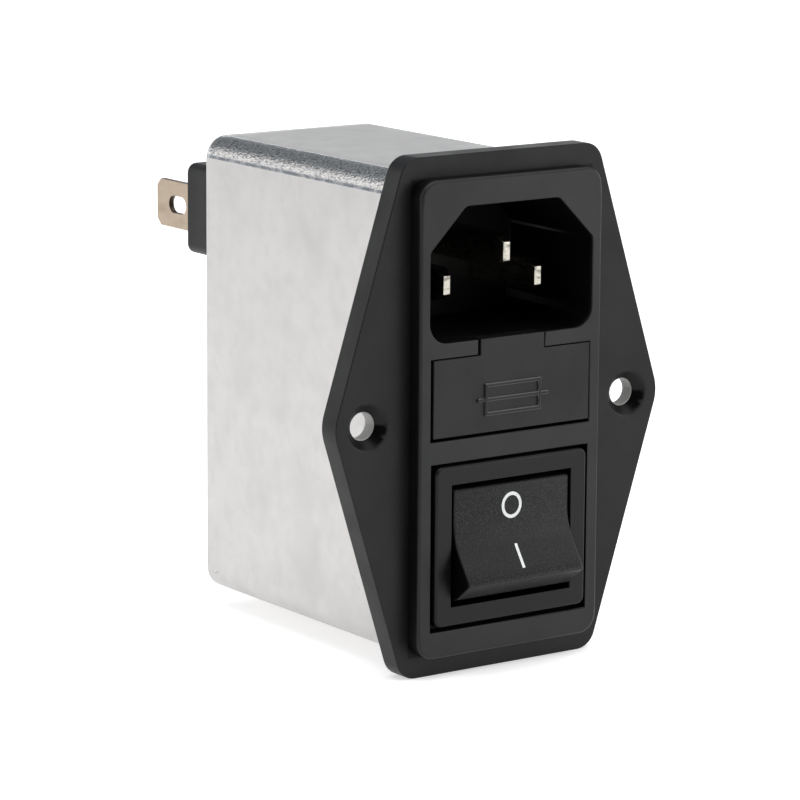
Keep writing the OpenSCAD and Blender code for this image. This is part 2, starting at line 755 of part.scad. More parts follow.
module insulator(side) color(black) translate([side * tab_x, 0, boss_z]) difference() {
    union() {
        slab(board_back, cover_y) rounded_box(shoulder_w, boss_h + 2 * shoulder_rim, boss_r);
        slab(cover_y - touch, boss_end) rounded_box(boss_w, boss_h, boss_r);
    }
    translate([0, 0, -tab_drop])
        slab(board_back - bite, boss_end + bite)
            square([tab_t + touch, tab_h + touch], center = true);
}

module insulator_left() insulator(-1);
module insulator_right() insulator(1);

// Outline of a quick-connect blade along the depth, with bevelled tip corners
module blade_outline(y0, y1) {
    h = tab_h / 2;
    b = blade_bevel;
    polygon([[y0, -h], [y1 - b, -h], [y1, b - h], [y1, h - b], [y1 - b, h], [y0, h]]);
}

// Oblong eye through a blade, across X
module blade_eye(y_mid) {
    run = eye_l - eye_h;
    translate([-tab_t, y_mid, 0]) {
        for (s = [-1, 1]) translate([0, s * run / 2, 0]) rotate([0, 90, 0]) cylinder(h = 2 * tab_t, d = eye_h);
        translate([0, -run / 2, -eye_h / 2]) cube([2 * tab_t, run, eye_h]);
    }
}

module rear_tab(side) color(nickel) translate([side * tab_x, 0, tab_z]) difference() {
    union() {
        side_slab(tab_t) blade_outline(board_back, tab_end);
        slab(board_y - board_leg_l, board_back + touch) square([tab_t, board_leg_h], center = true);
    }
    blade_eye(tab_end - eye_back);
}

module left_tab() rear_tab(-1);
module right_tab() rear_tab(1);

// Angle bracket with its foot on the rear cover
module earth_tab() color(nickel) translate([0, 0, earth_z]) {
    difference() {
        side_slab(tab_t) blade_outline(can_l, can_l + earth_l);
        blade_eye(can_l + earth_l - eye_back);
    }
    translate([(earth_foot_w - tab_t) / 2, 0, 0])
        slab(can_l, can_l + tab_t)
            square([earth_foot_w, tab_h + 2 * tab_t], center = true);
}

// ---------------------------------------------------------------- filter board

module filter_board() color("#2f6b45") difference() {
    slab(board_y, board_back) rounded_box(board_w, board_h, 1);
    for (p = concat(leg_holes, board_leads))
        translate([p.x, 0, p.y])
            slab(board_y - bite, board_back + bite)
                circle(d = leg_hole);
    for (s = [-1, 1])
        pin_slot(s * tab_x, tab_z, board_y - bite, board_back + bite, tab_t + touch, board_leg_h + touch);
}

// Two round legs through the board at the given places
module legs(places, from_y) for (p = places) rod([p.x, from_y, p.y], [p.x, leg_end, p.y], leg_d);

module choke_base() color("#2a2a2c") difference() {
    rim = 1;
    slab(board_y - choke_base_t, board_y)
        translate([0, choke_z])
            rounded_box(core_od + 2 * rim, 2 * (choke_leg_z + rim), rim);
    for (p = choke_legs)
        translate([p.x, 0, p.y])
            slab(board_y - choke_base_t - bite, board_y + bite)
                circle(d = leg_hole);
}

module choke_core() color("#4a4d50") translate([0, choke_mid_y, choke_z]) rotate([90, 0, 0]) difference() {
    cylinder(h = core_t, d = core_od, center = true);
    cylinder(h = core_t + bite, d = core_id, center = true);
}

// One winding: turns that stand out of a thin layer around one side of the core,
// with a foot at each end that runs down to the board
module choke_winding(side) color("#b5652f") {
    step = choke_span / choke_turns;
    turn_share = 0.76;
    inner = core_id / 2 - touch;
    outer = core_od / 2 + touch;
    flat = core_t / 2 + touch;
    translate([0, choke_mid_y, choke_z])
        rotate([90, 0, 0])
            rotate([0, 0, (side > 0 ? 0 : 180) - choke_span / 2]) {
                rotate_extrude(angle = choke_span) winding_section(inner, outer, flat, choke_wire / 2);
                for (i = [0:choke_turns - 1])
                    rotate([0, 0, step * (i + (1 - turn_share) / 2)])
                        rotate_extrude(angle = step * turn_share)
                            winding_section(inner, outer, flat, choke_wire);
            }
    end_a = (choke_span - step) / 2;
    end_r = outer + choke_wire / 2;
    for (z = [-1, 1]) {
        leg = [side * choke_leg_x, choke_mid_y, choke_z + z * choke_leg_z];
        wire_end = [side * end_r * cos(end_a), choke_mid_y, choke_z + z * end_r * sin(end_a)];
        rod(leg, [leg.x, leg_end, leg.z], leg_d);
        rod(leg, wire_end, leg_d);
        translate(leg) sphere(d = leg_d, $fn = 16);
    }
}

module winding_section(inner, outer, flat, t) difference() {
    translate([inner - t, -flat - t]) square([outer - inner + 2 * t, 2 * (flat + t)]);
    translate([inner, -flat]) square([outer - inner, 2 * flat]);
}

module choke_winding_left() choke_winding(-1);
module choke_winding_right() choke_winding(1);

// Box film capacitor standing on the board
module film_capacitor(size, z, pitch) {
    slab(board_y - size.y, board_y) translate([0, z]) rounded_box(size.x, size.z, 0.6);
    legs(leg_pair(pitch, z), board_y - touch);
}

module line_capacitor() color(yellow) film_capacitor(line_cap_size, line_cap_z, line_cap_pitch);
module load_capacitor() color(yellow) film_capacitor(load_cap_size, load_cap_z, load_cap_pitch);

// Disc capacitor standing on the board on two legs
module earth_capacitor(side) color("#3f74b8") {
    mid_y = board_y - earth_cap_d / 2 - leg_d;
    half_t = earth_cap_t / 2;
    translate([side * earth_cap_x, mid_y, earth_cap_z]) rotate_extrude()
        polygon(concat(
            [[0, -half_t]],
            [for (a = [-60:20:60]) [earth_cap_d / 2 - half_t / 2 + half_t / 2 * cos(a), half_t * sin(a)]],
            [[0, half_t]]
        ));
    legs(leg_pair(earth_cap_pitch, earth_cap_z, side * earth_cap_x), mid_y + 1);
}

module earth_capacitor_left() earth_capacitor(-1);
module earth_capacitor_right() earth_capacitor(1);

module bleed_resistor() color("#c8a878") {
    mid_y = board_y - resistor_end_d / 2 - touch;
    r = resistor_d / 2;
    end_r = resistor_end_d / 2;
    neck = end_r - r;
    tip = resistor_l / 2;
    root = tip - resistor_end_l;
    // body between two thicker ends
    translate([0, mid_y, resistor_z]) rotate([0, 90, 0]) rotate_extrude() polygon([
        [0, -tip], [r, -tip], [end_r, neck - tip], [end_r, -root], [r, neck - root],
        [r, root - neck], [end_r, root], [end_r, tip - neck], [r, tip], [0, tip]
    ]);
    for (p = leg_pair(resistor_pitch, resistor_z)) {
        corner = [p.x, mid_y, p.y];
        rod([sign(p.x) * (tip - neck), mid_y, resistor_z], corner, leg_d);
        translate(corner) sphere(d = leg_d, $fn = 16);
    }
    legs(leg_pair(resistor_pitch, resistor_z), mid_y);
}

// ---------------------------------------------------------------- insulated leads

lead_gap = 0.25;     // how close a lead's end comes to the blade it is soldered to
lead_bow = 2;        // how far a lead runs straight back before it bends

// A point of a lead's path: a place [x, z] at a depth
function at(place, y) = [place.x, y, place.y];
left_pin_at = [-pin_span / 2, pin_z];
right_pin_at = [pin_span / 2, pin_z];
earth_pin_at = [0, pin_z + earth_rise];
left_clip_at = [-clip_x, pocket_z];
right_clip_at = [clip_x, pocket_z];
function terminal_at(side, row) = [side * terminal_x, switch_z + row * terminal_z];

// Each lead starts beside an upright blade and leaves it straight back
module lead_pin_to_fuse() color(brown) lead([
    at(left_pin_at, pin_tail_y + lead_gap),
    at(left_pin_at, pin_tail_y + lead_bow),
    at((left_pin_at + left_clip_at) / 2, pin_tail_y + 1.25 * lead_bow),
    at(left_clip_at, clip_tail_y + lead_bow),
    at(left_clip_at, clip_tail_y + lead_gap)
]);

module lead_fuse_to_switch() color(brown) lead([
    at(right_clip_at, clip_tail_y + lead_gap),
    at(right_clip_at, clip_tail_y + lead_bow),
    at(terminal_at(1, 1), switch_tail_y + lead_bow),
    at(terminal_at(1, 1), switch_tail_y + lead_gap)
]);

module lead_pin_to_switch() color(blue) lead([
    at(right_pin_at, pin_tail_y + lead_gap),
    at(right_pin_at, pin_tail_y + 1.6 * lead_bow),
    at([0, pocket_z + lead_bow], pin_tail_y + 1.7 * lead_bow),
    at(terminal_at(-1, 1), switch_tail_y + lead_bow),
    at(terminal_at(-1, 1), switch_tail_y + lead_gap)
]);

module board_lead(side) {
    hole = board_leads[side < 0 ? 0 : 1];
    lead([
        at(terminal_at(side, -1), switch_tail_y + lead_gap),
        at(terminal_at(side, -1), switch_tail_y + lead_bow),
        at(hole, switch_tail_y + 2 * lead_bow),
        at(hole, board_y - lead_gap)
    ]);
    rod(at(hole, board_y - 2 * lead_gap), at(hole, leg_end), leg_d);
}

module lead_switch_to_board_left() color(blue) board_lead(-1);
module lead_switch_to_board_right() color(brown) board_lead(1);

// From the earth pin up to an eyelet on the can's top wall
module lead_earth() color("#7a9a3a") {
    eyelet_t = 0.8;
    eyelet_d = 6;
    eyelet_hole_d = 2.6;
    eyelet_z = can_h / 2 - can_t - eyelet_t;
    lead_top = eyelet_z - touch;
    eyelet_y = pin_tail_y + 3.75 * lead_bow;
    lead([
        at(earth_pin_at, pin_tail_y + lead_gap),
        at(earth_pin_at, pin_tail_y + 1.25 * lead_bow),
        [0, pin_tail_y + 1.75 * lead_bow, lead_top - lead_d / 2],
        [0, eyelet_y - eyelet_d / 4, lead_top]
    ]);
    translate([0, eyelet_y, eyelet_z]) difference() {
        cylinder(h = eyelet_t, d = eyelet_d);
        translate([0, 0, -bite]) cylinder(h = eyelet_t + 2 * bite, d = eyelet_hole_d);
    }
}

// ---------------------------------------------------------------- nodes

front_housing();
left_pin();
right_pin();
earth_pin();
fuse_drawer();
active_fuse_glass();
active_fuse_caps();
spare_fuse_glass();
spare_fuse_caps();
fuse_clip_left();
fuse_clip_right();
switch_body();
rocker();
switch_terminal_in_left();
switch_terminal_in_right();
switch_terminal_out_left();
switch_terminal_out_right();
can_sleeve();
rear_cover();
insulator_left();
insulator_right();
left_tab();
right_tab();
earth_tab();
filter_board();
choke_base();
choke_core();
choke_winding_left();
choke_winding_right();
line_capacitor();
load_capacitor();
earth_capacitor_left();
earth_capacitor_right();
bleed_resistor();
lead_pin_to_fuse();
lead_fuse_to_switch();
lead_pin_to_switch();
lead_switch_to_board_left();
lead_switch_to_board_right();
lead_earth();
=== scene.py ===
"""Looks of a panel inlet filter: moulded front, fuse drawer, rocker switch and sheet-metal can.

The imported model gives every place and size. This script softens the moulded and stamped pieces,
builds the rocker, the can's sleeve, the printed marks and the choke's wire as meshes of their own,
gives each piece its finish, and sets up a plain studio.
"""

from __future__ import annotations

import json
import logging
import math
from dataclasses import dataclass, field
from enum import Enum
from typing import Callable, Sequence

import bmesh
import bpy
from mathutils import Euler, Matrix, Vector

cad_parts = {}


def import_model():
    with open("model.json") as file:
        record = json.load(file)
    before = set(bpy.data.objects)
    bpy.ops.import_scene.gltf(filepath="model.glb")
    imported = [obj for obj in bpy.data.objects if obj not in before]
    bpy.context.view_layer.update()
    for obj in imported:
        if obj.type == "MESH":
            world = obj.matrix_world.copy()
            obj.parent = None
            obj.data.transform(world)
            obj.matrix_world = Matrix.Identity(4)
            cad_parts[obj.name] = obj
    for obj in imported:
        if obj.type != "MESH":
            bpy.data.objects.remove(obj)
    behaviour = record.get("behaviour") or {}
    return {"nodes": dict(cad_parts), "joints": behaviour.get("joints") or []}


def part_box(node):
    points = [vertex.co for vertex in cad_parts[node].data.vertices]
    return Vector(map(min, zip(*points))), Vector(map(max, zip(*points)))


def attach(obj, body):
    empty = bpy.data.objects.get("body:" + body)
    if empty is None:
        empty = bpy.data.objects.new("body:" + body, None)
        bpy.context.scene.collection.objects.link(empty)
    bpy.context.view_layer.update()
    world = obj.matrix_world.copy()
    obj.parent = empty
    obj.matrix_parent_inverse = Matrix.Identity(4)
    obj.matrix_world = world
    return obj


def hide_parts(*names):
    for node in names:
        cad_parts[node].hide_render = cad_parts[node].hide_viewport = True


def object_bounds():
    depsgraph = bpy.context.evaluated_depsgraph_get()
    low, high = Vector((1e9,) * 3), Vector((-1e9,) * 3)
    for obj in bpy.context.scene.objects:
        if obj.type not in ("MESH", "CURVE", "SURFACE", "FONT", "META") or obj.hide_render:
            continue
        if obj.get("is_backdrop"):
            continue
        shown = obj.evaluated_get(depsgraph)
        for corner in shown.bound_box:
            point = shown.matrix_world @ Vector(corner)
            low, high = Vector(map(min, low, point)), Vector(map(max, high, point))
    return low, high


LOG = logging.getLogger("inlet_filter")
MM = 0.001

SMOOTH = {"interpolation_type": "SMOOTHSTEP"}
WHITE = (1.0, 1.0, 1.0, 1.0)

Object, Material, Node = bpy.types.Object, bpy.types.Material, bpy.types.Node
Tree, Socket = bpy.types.NodeTree, bpy.types.NodeSocket
Colour = tuple[float, float, float, float]
Triple = tuple[float, float, float]
Inputs = Sequence[object] | dict[str | int, object]
EdgeRule = Callable[[Vector, float], float]
RoomSteps = tuple[tuple[float, float], ...]


class Body(Enum):
    """The rigid bodies that pieces ride on."""

    INLET = "inlet"
    DRAWER = "drawer"
    ROCKER = "rocker"


class Side(Enum):
    """Left and right of the middle plane, seen from the front."""

    LEFT = -1
    RIGHT = 1


# ---------------------------------------------------------------- node trees


def linear(hex_colour: str) -> Colour:
    """Turns an sRGB hex colour into the linear values that shaders take.

    Args:
        hex_colour: Six hex digits after a hash sign.

    Returns:
        Linear red, green and blue, with full alpha.
    """
    channels = [int(hex_colour[i : i + 2], 16) / 255 for i in (1, 3, 5)]
    values = [c / 12.92 if c <= 0.04045 else ((c + 0.055) / 1.055) ** 2.4 for c in channels]
    return (values[0], values[1], values[2], 1.0)


def add_node(tree: Tree, kind: str, values: Inputs = (), **settings: object) -> Node:
    """Adds a node, sets its properties, and sets or links its inputs.

    Args:
        tree: The tree that gets the node.
        kind: The node's type name.
        values: Its inputs, by name or in the order of the inputs in use. Each is a plain value, a
            socket to link from, or a node whose first output in use is linked.
        settings: Property values by name.

    Returns:
        The new node.
    """
    node = tree.nodes.new(kind)
    for name, value in settings.items():
        setattr(node, name, value)
    if isinstance(values, dict):
        pairs = [(node.inputs[name], value) for name, value in values.items()]
    else:
        pairs = list(zip([socket for socket in node.inputs if socket.enabled], values))
    for socket, value in pairs:
        if isinstance(value, bpy.types.Node):
            value = next(output for output in value.outputs if output.enabled)
        if isinstance(value, bpy.types.NodeSocket):
            tree.links.new(value, socket)
        else:
            socket.default_value = value
    return node


def blank_material(name: str) -> tuple[Material, Tree, Node, Node]:
    """Makes a material that holds one surface shader and object coordinates.

    Args:
        name: The material's name.

    Returns:
        The material, its tree, its shader and its coordinate node.
    """
    material = bpy.data.materials.new(name)
    material.use_nodes = True
    tree = material.node_tree
    tree.nodes.clear()
    shader = add_node(tree, "ShaderNodeBsdfPrincipled")
    add_node(tree, "ShaderNodeOutputMaterial", {"Surface": shader.outputs["BSDF"]})
    return material, tree, shader, add_node(tree, "ShaderNodeTexCoord")


def lumps(
    tree: Tree, place: Socket, size_mm: float, detail: float = 3.0, stretch: Triple = (1.0, 1.0, 1.0)
) -> Socket:
    """Adds a pattern of lumps of a real size.

    Args:
        tree: The material's tree.
        place: Object coordinates.
        size_mm: Size of a lump in millimetres.
        detail: Octaves of finer lumps on top.
        stretch: How many times longer a lump is along X, Y and Z.

    Returns:
        The pattern's value, about 0.5 on average.
    """
    scale = tuple(1.0 / (size_mm * MM * s) for s in stretch)
    mapping = add_node(tree, "ShaderNodeMapping", {"Vector": place, "Scale": scale})
    texture = add_node(tree, "ShaderNodeTexNoise", {"Vector": mapping, "Scale": 1.0, "Detail": detail})
    return texture.outputs["Fac"]


def connect(tree: Tree, shader: Node, **channels: Node | Socket) -> None:
    """Links patterns to a shader's inputs.

    Args:
        tree: The material's tree.
        shader: The surface shader.
        channels: What feeds each input, by the input's name with underscores for spaces.
    """
    for name, source in channels.items():
        if isinstance(source, bpy.types.Node):
            source = next(output for output in source.outputs if output.enabled)
        tree.links.new(source, shader.inputs[name.replace("_", " ")])


# ---------------------------------------------------------------- finishes


@dataclass(frozen=True)
class Hollow:
    """Where a moulding's openings lie: behind a depth and within a panel's outline."""

    front: float
    half_width: float
    half_height: float
    depth_fade: float = 0.3 * MM
    rim_fade: float = 0.1 * MM

    def masks(self, tree: Tree, place: Socket) -> tuple[Node, Node]:
        """Returns a value that is 1 behind the depth, and one that is 1 within the outline.

        Args:
            tree: The material's tree.
            place: Object coordinates.
        """
        axes = add_node(tree, "ShaderNodeSeparateXYZ", (place,))
        within = []
        for axis, half in (("X", self.half_width), ("Z", self.half_height)):
            size = add_node(tree, "ShaderNodeMath", (axes.outputs[axis],), operation="ABSOLUTE")
            span = (size, half - self.rim_fade, half + self.rim_fade, 1.0, 0.0)
            within.append(add_node(tree, "ShaderNodeMapRange", span, **SMOOTH))
        outline = add_node(tree, "ShaderNodeMath", within, operation="MULTIPLY")
        span = (axes.outputs["Y"], self.front, self.front + self.depth_fade, 0.0, 1.0)
        return add_node(tree, "ShaderNodeMapRange", span, **SMOOTH), outline


@dataclass(frozen=True)
class ScrewHoles:
    """Where a flange's two countersunk holes lie."""

    offset: float
    bore: float
    sink: float
    fade: float = 0.04 * MM

    def within(self, tree: Tree, place: Socket, radius: float) -> Node:
        """Returns a value that is 1 nearer than a radius to a hole's axis.

        Args:
            tree: The material's tree.
            place: Object coordinates.
            radius: The radius in metres.
        """
        axes = add_node(tree, "ShaderNodeSeparateXYZ", (place,))
        side = add_node(tree, "ShaderNodeMath", (axes.outputs["X"],), operation="ABSOLUTE")
        across = add_node(tree, "ShaderNodeMath", (side, self.offset), operation="SUBTRACT")
        flat = add_node(tree, "ShaderNodeCombineXYZ", (across, axes.outputs["Z"]))
        away = add_node(tree, "ShaderNodeVectorMath", (flat,), operation="LENGTH")
        return add_node(tree, "ShaderNodeMapRange", (away, radius, radius + self.fade, 1.0, 0.0), **SMOOTH)


@dataclass(frozen=True)
class MouldedPlastic:
    """Filled thermoplastic from a spark-eroded mould: near-black with a fine dull grain, whose peaks get a
    painted highlight.
    """

    name: str
    colour: str
    roughness: float
    sheen: float
    grain_mm: float
    grain_depth_mm: float
    glint_speckle: float = 1.5
    mottle: float = 0.06
    mottle_mm: float = 7.0

    def make(self) -> Material:
        """Returns the material."""
        material, tree, shader, coords = blank_material(self.name)
        place = coords.outputs["Object"]
        # real erosion grain is about 0.03 mm; it is drawn coarser so that it shows
        grain = lumps(tree, place, self.grain_mm, 4.0)
        relief = {"Height": grain, "Distance": self.grain_depth_mm * MM, "Strength": 1.0}
        bump = add_node(tree, "ShaderNodeBump", relief)
        patches = lumps(tree, place, self.mottle_mm)
        span = (patches, 0.3, 0.7, self.roughness - self.mottle, self.roughness + self.mottle)
        rough = add_node(tree, "ShaderNodeMapRange", span, **SMOOTH)
        # painted highlight: the grain's peaks get a lighter colour that stands in for glints on them
        base = linear(self.colour)
        glint_colour = tuple(c * self.glint_speckle for c in base[:3]) + (1.0,)
        share = add_node(tree, "ShaderNodeMapRange", (grain, 0.45, 0.7, 0.0, 1.0), **SMOOTH)
        colour = add_node(tree, "ShaderNodeMix", (share, base, glint_colour), data_type="RGBA")
        shader.inputs["Specular IOR Level"].default_value = self.sheen
        colour = self.vary(tree, shader, coords, colour)
        connect(tree, shader, Base_Color=colour, Roughness=rough, Normal=bump)
        return material

    def vary(self, tree: Tree, shader: Node, coords: Node, colour: Node) -> Node:
        """Changes the colour and the sheen from place to place; a plain moulding stays the same all over.

        Args:
            tree: The material's tree; not used here.
            shader: Its shader; not used here.
            coords: Its coordinates; not used here.
            colour: The plain colour.

        Returns:
            The colour to use.
        """
        return colour


@dataclass(frozen=True)
class HollowPlastic(MouldedPlastic):
    """A moulding with deep openings, which get painted shade: a darker colour than its face and little sheen.
    """

    hollow: Hollow | None = None
    margin_sheen: float = 0.5
    hollow_shade_sheen: float = 0.15
    hollow_shade_colour: str = "#060606"

    def vary(self, tree: Tree, shader: Node, coords: Node, colour: Node) -> Node:
        """Paints shade into the openings by taking off their sheen and most of their colour, and takes some
        sheen off the margin.
        """
        behind, outline = self.hollow.masks(tree, coords.outputs["Object"])
        # painted shade in the openings: their colour is darkened and their sheen taken off
        inside = add_node(tree, "ShaderNodeMath", (behind, outline), operation="MULTIPLY")
        face = add_node(tree, "ShaderNodeMix", (behind, self.sheen, self.hollow_shade_sheen), data_type="FLOAT")
        level = add_node(tree, "ShaderNodeMix", (outline, self.margin_sheen, face), data_type="FLOAT")
        connect(tree, shader, Specular_IOR_Level=level)
        return add_node(tree, "ShaderNodeMix", (inside, colour, linear(self.hollow_shade_colour)), data_type="RGBA")


@dataclass(frozen=True)
class FlangePlastic(HollowPlastic):
    """A hollow moulding whose flange has countersunk holes, with painted shade on the countersinks and
    painted light on the bores.
    """

    holes: ScrewHoles | None = None
    sink_shade_colour: str = "#050505"
    sink_shade_sheen: float = 0.04
    bore_light_colour: str = "#a9a9a7"

    def vary(self, tree: Tree, shader: Node, coords: Node, colour: Node) -> Node:
        """Paints shade on the countersinks' lower right by taking off their sheen and darkening them, and
        paints light onto the bores' walls.
        """
        colour = super().vary(tree, shader, coords, colour)
        place = coords.outputs["Object"]
        facing = add_node(tree, "ShaderNodeSeparateXYZ", (coords.outputs["Normal"],))
        turned, right, low = (
            add_node(tree, "ShaderNodeMapRange", (facing.outputs[axis], *span), **SMOOTH)
            for axis, span in (
                ("Y", (-0.95, -0.85, 0.0, 1.0)),
                ("X", (-0.45, -0.1, 1.0, 0.0)),
                ("Z", (-0.06, 0.06, 0.0, 1.0)),
            )
        )
        shaded = add_node(tree, "ShaderNodeMath", (right, low), operation="MULTIPLY")
        sink = self.holes.within(tree, place, self.holes.sink)
        bore = self.holes.within(tree, place, self.holes.bore)
        # painted shade on the countersinks' lower right and painted light on the bores' walls
        shaded_sink = add_node(tree, "ShaderNodeMath", (sink, shaded), operation="MULTIPLY")
        lit_bore = add_node(tree, "ShaderNodeMath", (bore, turned), operation="MULTIPLY")
        level = shader.inputs["Specular IOR Level"].links[0].from_socket
        sheen = add_node(tree, "ShaderNodeMix", (shaded_sink, level, self.sink_shade_sheen), data_type="FLOAT")
        connect(tree, shader, Specular_IOR_Level=sheen)
        for share, shade in ((shaded_sink, self.sink_shade_colour), (lit_bore, self.bore_light_colour)):
            colour = add_node(tree, "ShaderNodeMix", (share, colour, linear(shade)), data_type="RGBA")
        return colour


@dataclass(frozen=True)
class DrawerPlastic(MouldedPlastic):
    """A moulding whose raised sign has painted highlights on its edges."""

    face: float = 0.0
    proud_fade: float = 0.1 * MM
    edge_highlight_colour: str = "#58585a"

    def vary(self, tree: Tree, shader: Node, coords: Node, colour: Node) -> Node:
        """Paints highlights on the upper, lower and right edges of what stands in front of the face."""
        axes = add_node(tree, "ShaderNodeSeparateXYZ", (coords.outputs["Object"],))
        facing = add_node(tree, "ShaderNodeSeparateXYZ", (coords.outputs["Normal"],))
        proud, turned, right = (
            add_node(tree, "ShaderNodeMapRange", span, **SMOOTH)
            for span in (
                (axes.outputs["Y"], self.face - self.proud_fade, self.face, 1.0, 0.0),
                (facing.outputs["Y"], -0.98, -0.8, 0.0, 1.0),
                (facing.outputs["X"], -0.4, -0.1, 0.0, 1.0),
            )
        )
        # painted highlights: the raised sign's edges that do not face left get a pale colour
        edges = add_node(tree, "ShaderNodeMath", (turned, right), operation="MULTIPLY")
        highlit_edges = add_node(tree, "ShaderNodeMath", (edges, proud), operation="MULTIPLY")
        return add_node(tree, "ShaderNodeMix", (highlit_edges, colour, linear(self.edge_highlight_colour)), data_type="RGBA")


@dataclass(frozen=True)
class RockerPlastic(MouldedPlastic):
    """A grained moulding with painted light in a pale band across its middle and on what faces down, and
    painted shade on its left flank.
    """

    lit_band_low: float = 0.0
    lit_band_high: float = 0.0
    lit_band_share: float = 0.45
    lit_band_colour: str = "#2c2c2d"
    flank_shade_colour: str = "#030303"
    flank_shade_sheen: float = 0.04

    def vary(self, tree: Tree, shader: Node, coords: Node, colour: Node) -> Node:
        """Paints light as a pale band across the face and on what faces down, and paints shade on the left
        flank by darkening it and taking off its sheen.
        """
        axes = add_node(tree, "ShaderNodeSeparateXYZ", (coords.outputs["Object"],))
        facing = add_node(tree, "ShaderNodeSeparateXYZ", (coords.outputs["Normal"],))
        height = axes.outputs["Z"]
        upper, lower, under, flank = (
            add_node(tree, "ShaderNodeMapRange", span, **SMOOTH)
            for span in (
                (height, self.lit_band_high - 1.2 * MM, self.lit_band_high + 1.2 * MM, 1.0, 0.0),
                (height, self.lit_band_low - 1.6 * MM, self.lit_band_low + 1.6 * MM, 0.0, 1.0),
                (facing.outputs["Z"], -0.75, -0.45, 1.0, 0.0),
                (facing.outputs["X"], -0.9, -0.5, 1.0, 0.0),
            )
        )
        # painted light: a band across the face and the faces that look down are paled
        band = add_node(tree, "ShaderNodeMath", (upper, lower), operation="MULTIPLY")
        pale = add_node(tree, "ShaderNodeMath", (band, under), operation="MAXIMUM")
        amount = add_node(tree, "ShaderNodeMapRange", (pale, 0.0, 1.0, 0.0, self.lit_band_share), **SMOOTH)
        # painted shade on the left flank: less sheen and a near-black colour
        span = (flank, 0.0, 1.0, self.sheen, self.flank_shade_sheen)
        connect(tree, shader, Specular_IOR_Level=add_node(tree, "ShaderNodeMapRange", span, **SMOOTH))
        for share, shade in ((amount, self.lit_band_colour), (flank, self.flank_shade_colour)):
            colour = add_node(tree, "ShaderNodeMix", (share, colour, linear(shade)), data_type="RGBA")
        return colour


